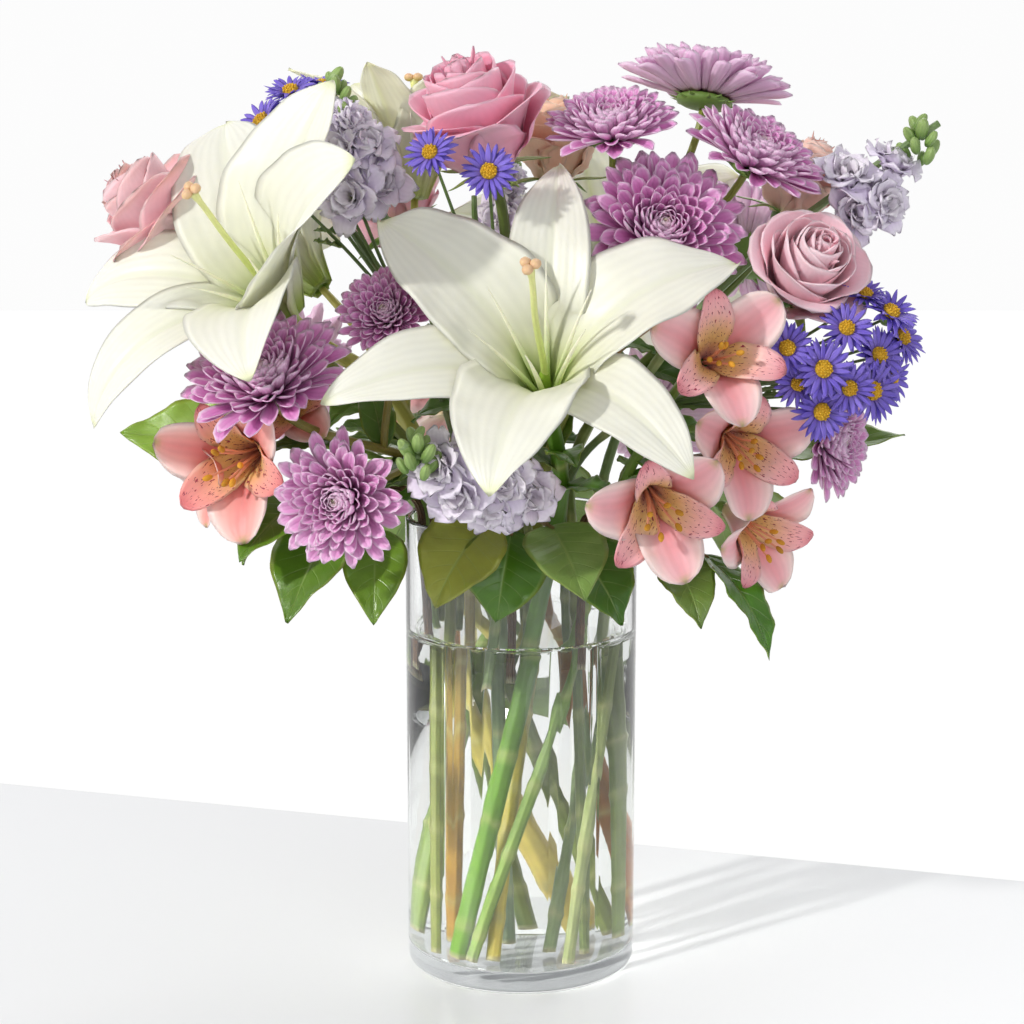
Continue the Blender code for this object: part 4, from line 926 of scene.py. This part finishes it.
def asters(rows, at=-3):
    def make(B, coarse, fine, rng):
        more = [((128, -84, 292), (0.1, -0.8, 0.5), 10), ((141, -80, 281), (0.5, -0.7, 0.3), 11), ((128, -94, 270), (0.2, -0.9, 0.1), 10),
                ((147, -74, 272), (0.7, -0.6, 0.0), 10), ((137, -70, 304), (0.2, -0.4, 0.9), 9), ((108, -96, 272), (0.0, -0.9, 0.1), 9)] if len(rows) == 6 else []
        for c, axis, r in list(rows) + more:
            a = Vector(axis).normalized()
            start, end = coarse[at], mm(c)
            B.tube([start, (start + end) / 2 - a * 6 * MM, end - a * 2 * MM], [0.9 * MM, 0.6 * MM], flat(srgb(96, 122, 62)), mat=1, sides=8, res=10)
            aster(B, c, axis, r, rng)
            j = (start + end) / 2 - a * 6 * MM
            leaf(B, [q / MM for q in j], (a.x + rng.uniform(-0.5, 0.5), a.y * 0.5, 0.3), 14, 3.2, 0.3, (0, -0.4, 0.9), rng, ((96, 130, 66), (120, 146, 90)), mat=1)
    return make


LEAF_TONES = {
    "salal_front": [((150, 158, 60), (150, 160, 90)), ((68, 116, 14), (120, 148, 70)), ((116, 148, 72), (146, 166, 104)), ((62, 108, 14), (124, 148, 76))],
    "salal_left": [((66, 116, 18), (110, 144, 64)), ((78, 128, 24), (120, 150, 70)), ((96, 138, 34), (124, 152, 74)), ((128, 168, 56), (146, 174, 90))],
    "salal_right": [((72, 122, 22), (118, 148, 70)), ((92, 122, 50), (124, 146, 84))],
}


def leaves(rows):
    def make(B, coarse, fine, rng):
        name = {(-14, -64, 212): "salal_front", (-74, -52, 214): "salal_left", (76, -46, 194): "salal_right"}.get(tuple(rows[0][0]))
        for i, (foot, d, length, width, droop, up) in enumerate(rows):
            near = min(coarse[1:], key=lambda p: (p - mm(foot)).length)
            B.tube([near, (near + mm(foot)) / 2 + Vector((0, 0, 1.5 * MM)), mm(foot) + Vector(d).normalized() * 3 * MM], [0.9 * MM, 0.8 * MM], flat(srgb(150, 130, 80)), mat=2, sides=8, res=8)
            if name == "salal_left" and i == 3:
                foot, d, length, up = (-102, -46, 240), (-0.97, 0.0, 0.14), 66, (0, -0.85, 0.5)
            tones = LEAF_TONES[name][i] if name else ((90, 128, 34), (124, 150, 76))
            leaf(B, foot, d, length * (0.86 if name == "salal_front" else 1.0), width, droop, up, rng, tones)
    return make


for name, (base, axis, petals) in LILIES.items():
    if name == "lily_left":
        petals = [(az, n, end, w * (1.3 if az < 100 else 1.1)) for az, n, end, w in petals]
    B = Build()
    top = name == "lily_top"
    lily(B, base, axis, petals, rng_of(name), yellow=0.35 if top else 0.0, pistil=(52 if top else 78) * MM, stamens=6, wave=0.45 if name == "lily_left" else 1.0)
    B.make(name + "_bloom", [LILY, GREEN], name, "lily_petal")

ROSE_TONES = {
    "rose_top": ((240, 150, 180), (224, 108, 148), (250, 202, 216), 0.0),
    "rose_right": ((250, 196, 208), (240, 138, 164), (254, 230, 236), 0.0),
    "rose_left": ((242, 184, 194), (226, 140, 160), (248, 210, 212), 0.7),
    "rose_top_back": ((244, 190, 160), (234, 150, 120), (250, 216, 190), 0.1),
    "rose_right_back": ((246, 190, 176), (232, 140, 130), (250, 220, 206), 0.0),
    "rose_back": ((236, 160, 178), (214, 110, 140), (246, 204, 210), 0.1),
}
for name, (base, axis, radius, height) in ROSES.items():
    tone, deep, edge, brown = ROSE_TONES[name]
    B = Build()
    k = {"rose_left": 1.2, "rose_top": 1.06}.get(name, 1.0)
    radius, height = radius * k, height * k
    rose(B, base, axis, radius, height, rng_of(name), srgb(*tone), srgb(*deep), srgb(*edge), brown=brown)
    B.make(name + "_bloom", [ROSE, GREEN], name, "rose_petal")

for name, (base, axis, radius, depth) in MUMS.items():
    B = Build()
    mum(B, base, axis, radius, depth, rng_of(name), pale=0.15 if name in ("mum_lower_left", "mum_lower_right") else 0.0)
    B.make(name + "_bloom", [MUM, GREEN], name, "chrysanthemum_petal")

for name, (base, axis, size, roll) in ALSTROS.items():
    rng = rng_of(name)
    B = Build()
    if name == "alstro_left":
        coral = dict(tone=(247, 178, 170), deep=(234, 108, 112))
        alstro(B, base, axis, size, roll, rng, **coral)
        alstro(B, (base[0] + 10, base[1] + 6, base[2] + 12), (0.05, -0.9, 0.42), 0.8, 40, rng, open_=0.9, **coral)
        alstro(B, (base[0] - 6, base[1] + 4, base[2] - 8), (-0.75, -0.62, -0.12), 0.72, 5, rng, open_=0.8, **coral)
    else:
        alstro(B, base, axis, size, roll, rng)
    B.make(name + "_bloom", [ALSTRO, GREEN, ANTHER], name, "alstroemeria_petal")


def head(table, name, gap=0.9, at=2):
    base, axis = table[name][0], table[name][1]
    return (mm(base), axis, gap * MM, at)


stem("stem_lily_left", [head(LILIES, "lily_left", 2.4), head(LILIES, "lily_top", 2.4, 1), head(LILIES, "lily_left_back", 2.4, 1)], lift=0.6)
stem("stem_lily_front", [head(LILIES, "lily_front", 2.4)])
stem("stem_lily_back", [head(LILIES, "lily_back", 2.4)])
stem("stem_rose_left", [head(ROSES, "rose_left")], lift=0.15)
stem("stem_rose_top", [head(ROSES, "rose_top")])
stem("stem_rose_right", [head(ROSES, "rose_right")])
stem("stem_rose_top_back", [head(ROSES, "rose_top_back")])
stem("stem_rose_right_back", [head(ROSES, "rose_right_back")])
stem("stem_rose_back", [head(ROSES, "rose_back")])
stem("stem_mum_right", [head(MUMS, "mum_centre"), head(MUMS, "mum_top_right"), head(MUMS, "mum_right"), head(MUMS, "mum_upper")])
stem("stem_mum_left", [head(MUMS, "mum_left"), head(MUMS, "mum_lower_left", at=1), head(MUMS, "mum_middle")])
stem("stem_mum_back", [head(MUMS, "mum_back_right"), head(MUMS, "mum_back_low", at=1)])
stem("stem_mum_back_left", [head(MUMS, "mum_back_left")])
stem("stem_alstro_right", [head(ALSTROS, "alstro_upper"), head(ALSTROS, "alstro_middle", at=1),
                           head(ALSTROS, "alstro_lower", at=0), head(ALSTROS, "alstro_side", at=0)])
stem("stem_alstro_left", [head(ALSTROS, "alstro_left")])
stem("stem_alstro_back", [head(ALSTROS, "alstro_back")])




UP = (0, 0.1, 1)
spray("stock_top_left", (-4, 6), (-10, -16), (-65, -58, 360), (-0.25, -0.3, 0.9), 2.5, 1.7, florets([
    ((-74, -66, 362), (-0.4, -0.8, 0.4), 11, 0.7), ((-62, -62, 366), (0.2, -0.7, 0.7), 11, 0.8),
    ((-70, -70, 344), (-0.3, -0.9, 0.1), 11, 0.7), ((-56, -62, 350), (0.3, -0.9, 0.1), 11, 0.8),
    ((-65, -56, 353), (0.1, 0.05, 1), 13.5, 1.05), ((-75, -51, 384), (0.1, 0, 1), 8, 1.1), ((-71, -55, 372), (0, 0.1, 1), 10.5, 1.1)]), "stock")
spray("stock_right", (10, -14), (34, 10), (172, -30, 372), (0.75, 0.05, 0.5), 2.4, 1.5, florets([
    ((133, -46, 354), (0.1, -0.6, 0.8), 11, 0.8), ((142, -40, 347), (0.4, -0.5, 0.7), 12, 0.9),
    ((137, -50, 337), (0.2, -0.9, 0.1), 10, 0.7), ((150, -46, 340), (0.6, -0.7, 0.1), 10, 0.7),
    ((155, -36, 358), (0.6, -0.3, 0.8), 10, 0.9), ((164, -32, 366), UP, 8, 1.0), ((140, -36, 338), UP, 11, 1.1)]), "stock")
spray("stock_front", (-14, -38, 135), (-6, -38), (-46, -124, 252), (-0.6, -0.4, 0.5), 2.2, 1.5, florets([
    ((-34, -120, 243), (-0.4, -0.9, 0.1), 11, 0.7), ((-20, -114, 246), (0, -0.9, 0.4), 11, 0.7),
    ((-8, -112, 236), (0.2, -0.9, 0), 11, 0.7), ((-26, -118, 231), (-0.2, -0.9, -0.3), 11, 0.7),
    ((-12, -108, 224), (0.1, -0.8, -0.5), 11, 0.7), ((4, -102, 228), (0.5, -0.8, -0.1), 11, 0.7),
    ((-18, -104, 236), UP, 12, 0.9), ((-4, -98, 234), UP, 11, 0.9), ((-40, -122, 249), UP, 8, 1.0)]), "stock")
spray("stock_back", (-4, 42, 142), (-9, 41), (-8, 92, 358), (0.0, 0.4, 0.9), 2.2, 1.5, florets([
    ((-8, 88, 344), UP, 11, 1.1), ((-9, 82, 328), UP, 13, 1.0), ((-9, 76, 312), UP, 13, 1.0), ((-8, 92, 354), UP, 8, 1.1)]), "stock")
spray("aster_middle", (2, -22, 140), (3, -20), (-19, -74, 344), (0.0, -0.2, 0.9), 1.6, 1.1, asters([
    ((-13, -96, 354), (0.0, -0.95, 0.3), 10), ((-35, -100, 361), (-0.3, -0.8, 0.5), 9.5)]), "aster")
spray("aster_right", (24, -20), (18, -10), (128, -70, 272), (0.7, -0.5, 0.1), 2.0, 1.2, asters([
    ((103, -99, 286), (0.0, -0.9, 0.3), 10), ((117, -99, 278), (0.2, -0.9, 0.2), 11),
    ((117, -95, 261), (0.3, -0.9, 0.0), 11), ((138, -86, 268), (0.5, -0.8, 0.1), 12),
    ((147, -72, 297), (0.4, -0.5, 0.8), 11), ((152, -68, 287), (0.7, -0.5, 0.4), 11)]), "aster")
spray("aster_top_left", (-28, 2, 142), (-26, 0), (-94, -26, 360), (-0.5, -0.4, 0.75), 1.8, 1.1, asters([
    ((-106, -34, 372), (-0.6, -0.4, 0.7), 11), ((-108, -44, 355), (-0.6, -0.8, 0.2), 11),
    ((-94, -38, 384), (-0.2, -0.4, 0.9), 10), ((-82, -26, 386), (0.1, 0.0, 1.0), 10)]), "aster")
spray("salal_front", (-4, -30, 141), (-4, -28), (-2, -62, 214), (0.0, -0.9, 0.3), 1.8, 1.4, leaves([
    ((-14, -64, 212), (-0.50, -0.70, -0.42), 52, 36, 0.7, (0, -0.6, 0.8)),
    ((-4, -66, 208), (-0.14, -0.60, -0.55), 46, 34, 0.8, (0, -0.8, 0.6)),
    ((12, -66, 210), (0.28, -0.80, -0.25), 48, 34, 0.7, (0, -0.5, 0.9)),
    ((18, -60, 204), (0.55, -0.60, -0.40), 52, 34, 0.7, (0.2, -0.6, 0.8))]), "leaf")
spray("salal_left", (-40, -8, 140), (-43, -14), (-84, -54, 226), (-0.7, -0.6, 0.2), 1.8, 1.4, leaves([
    ((-74, -52, 214), (-0.30, -0.60, -0.30), 58, 36, 0.6, (-0.2, -0.6, 0.8)),
    ((-86, -56, 222), (-0.50, -0.70, -0.10), 50, 30, 0.6, (-0.3, -0.5, 0.8)),
    ((-60, -54, 206), (0.0, -0.80, -0.35), 46, 26, 0.7, (0, -0.5, 0.9)),
    ((-90, -48, 230), (-0.95, 0.05, 0.05), 68, 34, 0.35, (0, -0.5, 0.8))]), "leaf")
spray("salal_right", (24, -34, 142), (26, -34), (66, -50, 196), (0.8, -0.4, 0.0), 1.8, 1.3, leaves([
    ((76, -46, 194), (0.55, -0.45, -0.30), 54, 20, 0.8, (0.4, -0.3, 0.8)),
    ((60, -42, 196), (0.35, -0.80, -0.25), 44, 24, 0.7, (0.2, -0.5, 0.8))]), "leaf")
spray("salal_back", (-26, 30, 142), (-31, 31), (-30, 78, 214), (-0.3, 0.9, 0.3), 1.8, 1.4, leaves([
    ((-34, 78, 208), (-0.50, 0.70, -0.40), 60, 38, 0.7, (0, 0.6, 0.8)),
    ((-18, 80, 208), (0.10, 0.80, -0.45), 60, 38, 0.7, (0, 0.6, 0.8)),
    ((-44, 74, 212), (-0.90, 0.40, -0.15), 60, 36, 0.5, (0, 0.4, 0.9)),
    ((0, 78, 210), (0.60, 0.70, -0.35), 58, 36, 0.7, (0, 0.6, 0.8))]), "leaf")
spray("salal_back_right", (38, 14, 142), (42, 10), (88, 50, 222), (0.8, 0.4, 0.2), 1.8, 1.4, leaves([
    ((84, 46, 214), (0.70, 0.30, -0.30), 62, 36, 0.6, (0.3, 0.2, 0.9)),
    ((80, 54, 210), (0.40, 0.70, -0.40), 58, 36, 0.7, (0.2, 0.5, 0.8)),
    ((92, 50, 224), (0.80, 0.60, 0.10), 60, 34, 0.4, (0, 0.2, 0.9)),
    ((98, 32, 222), (0.86, -0.42, 0.28), 76, 32, 0.2, (0, -0.4, 0.9))]), "leaf")
spray("salal_back_left", (-40, 16, 142), (-42, 12), (-86, 44, 220), (-0.8, 0.4, 0.2), 1.8, 1.4, leaves([
    ((-82, 42, 212), (-0.80, 0.10, -0.30), 62, 36, 0.6, (-0.2, 0.2, 0.9)),
    ((-80, 50, 210), (-0.40, 0.70, -0.40), 56, 36, 0.7, (-0.2, 0.5, 0.8))]), "leaf")


# ------------------------------------------------------------ vase and water
def lathe(name, profile, steps, mat, node):
    bm = bmesh.new()
    n = len(profile)
    rings = []
    for r, z in profile:
        if r == 0:
            rings.append([bm.verts.new((0, 0, z * MM))])
        else:
            rings.append([bm.verts.new((r * MM * math.cos(2 * math.pi * i / steps), r * MM * math.sin(2 * math.pi * i / steps), z * MM)) for i in range(steps)])
    for a, b in zip(rings, rings[1:]):
        for i in range(steps):
            j = (i + 1) % steps
            if len(a) == 1:
                bm.faces.new((a[0], b[i], b[j]))
            elif len(b) == 1:
                bm.faces.new((a[i], b[0], a[j]))
            else:
                bm.faces.new((a[i], b[i], b[j], a[j]))
    bmesh.ops.recalc_face_normals(bm, faces=bm.faces)
    mesh = bpy.data.meshes.new(name)
    bm.to_mesh(mesh)
    bm.free()
    mesh.polygons.foreach_set("use_smooth", np.ones(len(mesh.polygons), bool))
    mesh.materials.append(mat)
    obj = bpy.data.objects.new(name, mesh)
    bpy.context.scene.collection.objects.link(obj)
    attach(obj, "root")
    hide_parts(node)
    return obj


def rounded(points, radii, steps=5):
    """The profile with each inner corner turned into a small arc."""
    out = [points[0]]
    for i in range(1, len(points) - 1):
        p, q, s = Vector(points[i - 1]), Vector(points[i]), Vector(points[i + 1])
        r = min(radii[i], (p - q).length * 0.49, (s - q).length * 0.49)
        a, b = q + (p - q).normalized() * r, q + (s - q).normalized() * r
        for k in range(steps + 1):
            t = k / steps
            c = a * (1 - t) ** 2 + q * 2 * t * (1 - t) + b * t * t
            out.append((c.x, c.y))
    out.append(points[-1])
    return out


vr, vw, vh = 50.8, 3.0, 203.0
profile = [(0, 9), (vr - vw - 0.0, 9), (vr - vw, vh - 0.0), (vr, vh), (vr, 0.0), (0, 0)]
profile = rounded(profile, [0, 4.2, 1.5, 1.5, 5.0, 0], 8)
lathe("vase_glass", profile, 160, GLASS, "vase")
wr, wz = vr - vw + 0.06, WATER_Z / MM
profile = [(0, 8.94), (wr, 8.94), (wr, wz + 1.9), (wr - 0.35, wz + 1.2), (wr - 1.0, wz + 0.5), (wr - 2.4, wz + 0.06), (wr - 6, wz), (0, wz)]
profile = rounded(profile, [0, 4.2, 0, 0, 0, 0, 0, 0], 8)
lathe("vase_water", profile, 160, WATER, "water")


# --------------------------------------------------------------------- stage
def stage_mat(name, colour, rough, vary=0.0, emit=0.0):
    mat, nt, sh, out = new_mat(name)
    c = srgb(*colour)
    col = mix_col(nt, noise(nt, 3.0, 3.0), tuple(c * (1 - vary)), tuple(np.minimum(1, c * (1 + vary))))
    if emit:
        sh.inputs["Base Color"].default_value = (0.03, 0.03, 0.03, 1)
    else:
        nt.links.new(col, sh.inputs["Base Color"])
    sh.inputs["Roughness"].default_value = rough
    if emit:
        nt.links.new(col, sh.inputs["Emission Color"])
        sh.inputs["Emission Strength"].default_value = emit
    return mat


def quad(name, pts, mat):
    mesh = bpy.data.meshes.new(name)
    mesh.from_pydata(pts, [], [tuple(range(len(pts)))])
    mesh.materials.append(mat)
    obj = bpy.data.objects.new(name, mesh)
    bpy.context.scene.collection.objects.link(obj)
    return obj


table = stage_mat("pale_table", (232, 233, 235), 0.34, 0.01)
wall = stage_mat("pale_wall", (248, 248, 248), 0.9, 0.003, emit=1.0)
quad("table", [(-6, -6, 0), (6, -6, 0), (6, -1.66, 0), (-6, 2.01, 0)], table)
quad("wall_low", [(-14, -8, -0.25), (14, -8, -0.25), (14, 6, -0.25), (-14, 6, -0.25)], wall)
quad("wall", [(-14, 6, -0.25), (14, 6, -0.25), (14, 6, 9), (-14, 6, 9)], wall)

world = bpy.data.worlds.new("world")
world.use_nodes = True
back = world.node_tree.nodes["Background"]
back.inputs[0].default_value = (0.97, 0.98, 1.0, 1.0)
back.inputs[1].default_value = 0.5
bpy.context.scene.world = world


def lamp(name, place_, target, size, power, colour=(1, 1, 1), kind="AREA"):
    data = bpy.data.lights.new(name, kind)
    data.energy = power
    data.color = colour
    if kind == "AREA":
        data.shape = "DISK"
        data.size = size
    obj = bpy.data.objects.new(name, data)
    bpy.context.scene.collection.objects.link(obj)
    obj.location = place_
    obj.rotation_euler = (Vector(target) - Vector(place_)).to_track_quat("-Z", "Y").to_euler()
    return obj


lamp("key", (-2.0, -1.5, 1.55), (0, -0.02, 0.22), 0.16, 50, (1.0, 0.98, 0.95))
lamp("fill", (0.9, -2.0, 1.1), (0, 0, 0.25), 1.6, 9, (0.97, 0.98, 1.0))
lamp("rim", (0.7, 1.9, 1.7), (0, 0, 0.28), 1.4, 16)

cam = bpy.data.cameras.new("camera")
cam.lens = 80.89
cam.sensor_width = 36
camera = bpy.data.objects.new("camera", cam)
camera.location = (-0.004, -0.992, 0.3815)
camera.rotation_euler = (math.radians(79.84), 0, 0)
bpy.context.scene.collection.objects.link(camera)
bpy.context.scene.camera = camera
bpy.context.scene.view_settings.view_transform = "Standard"
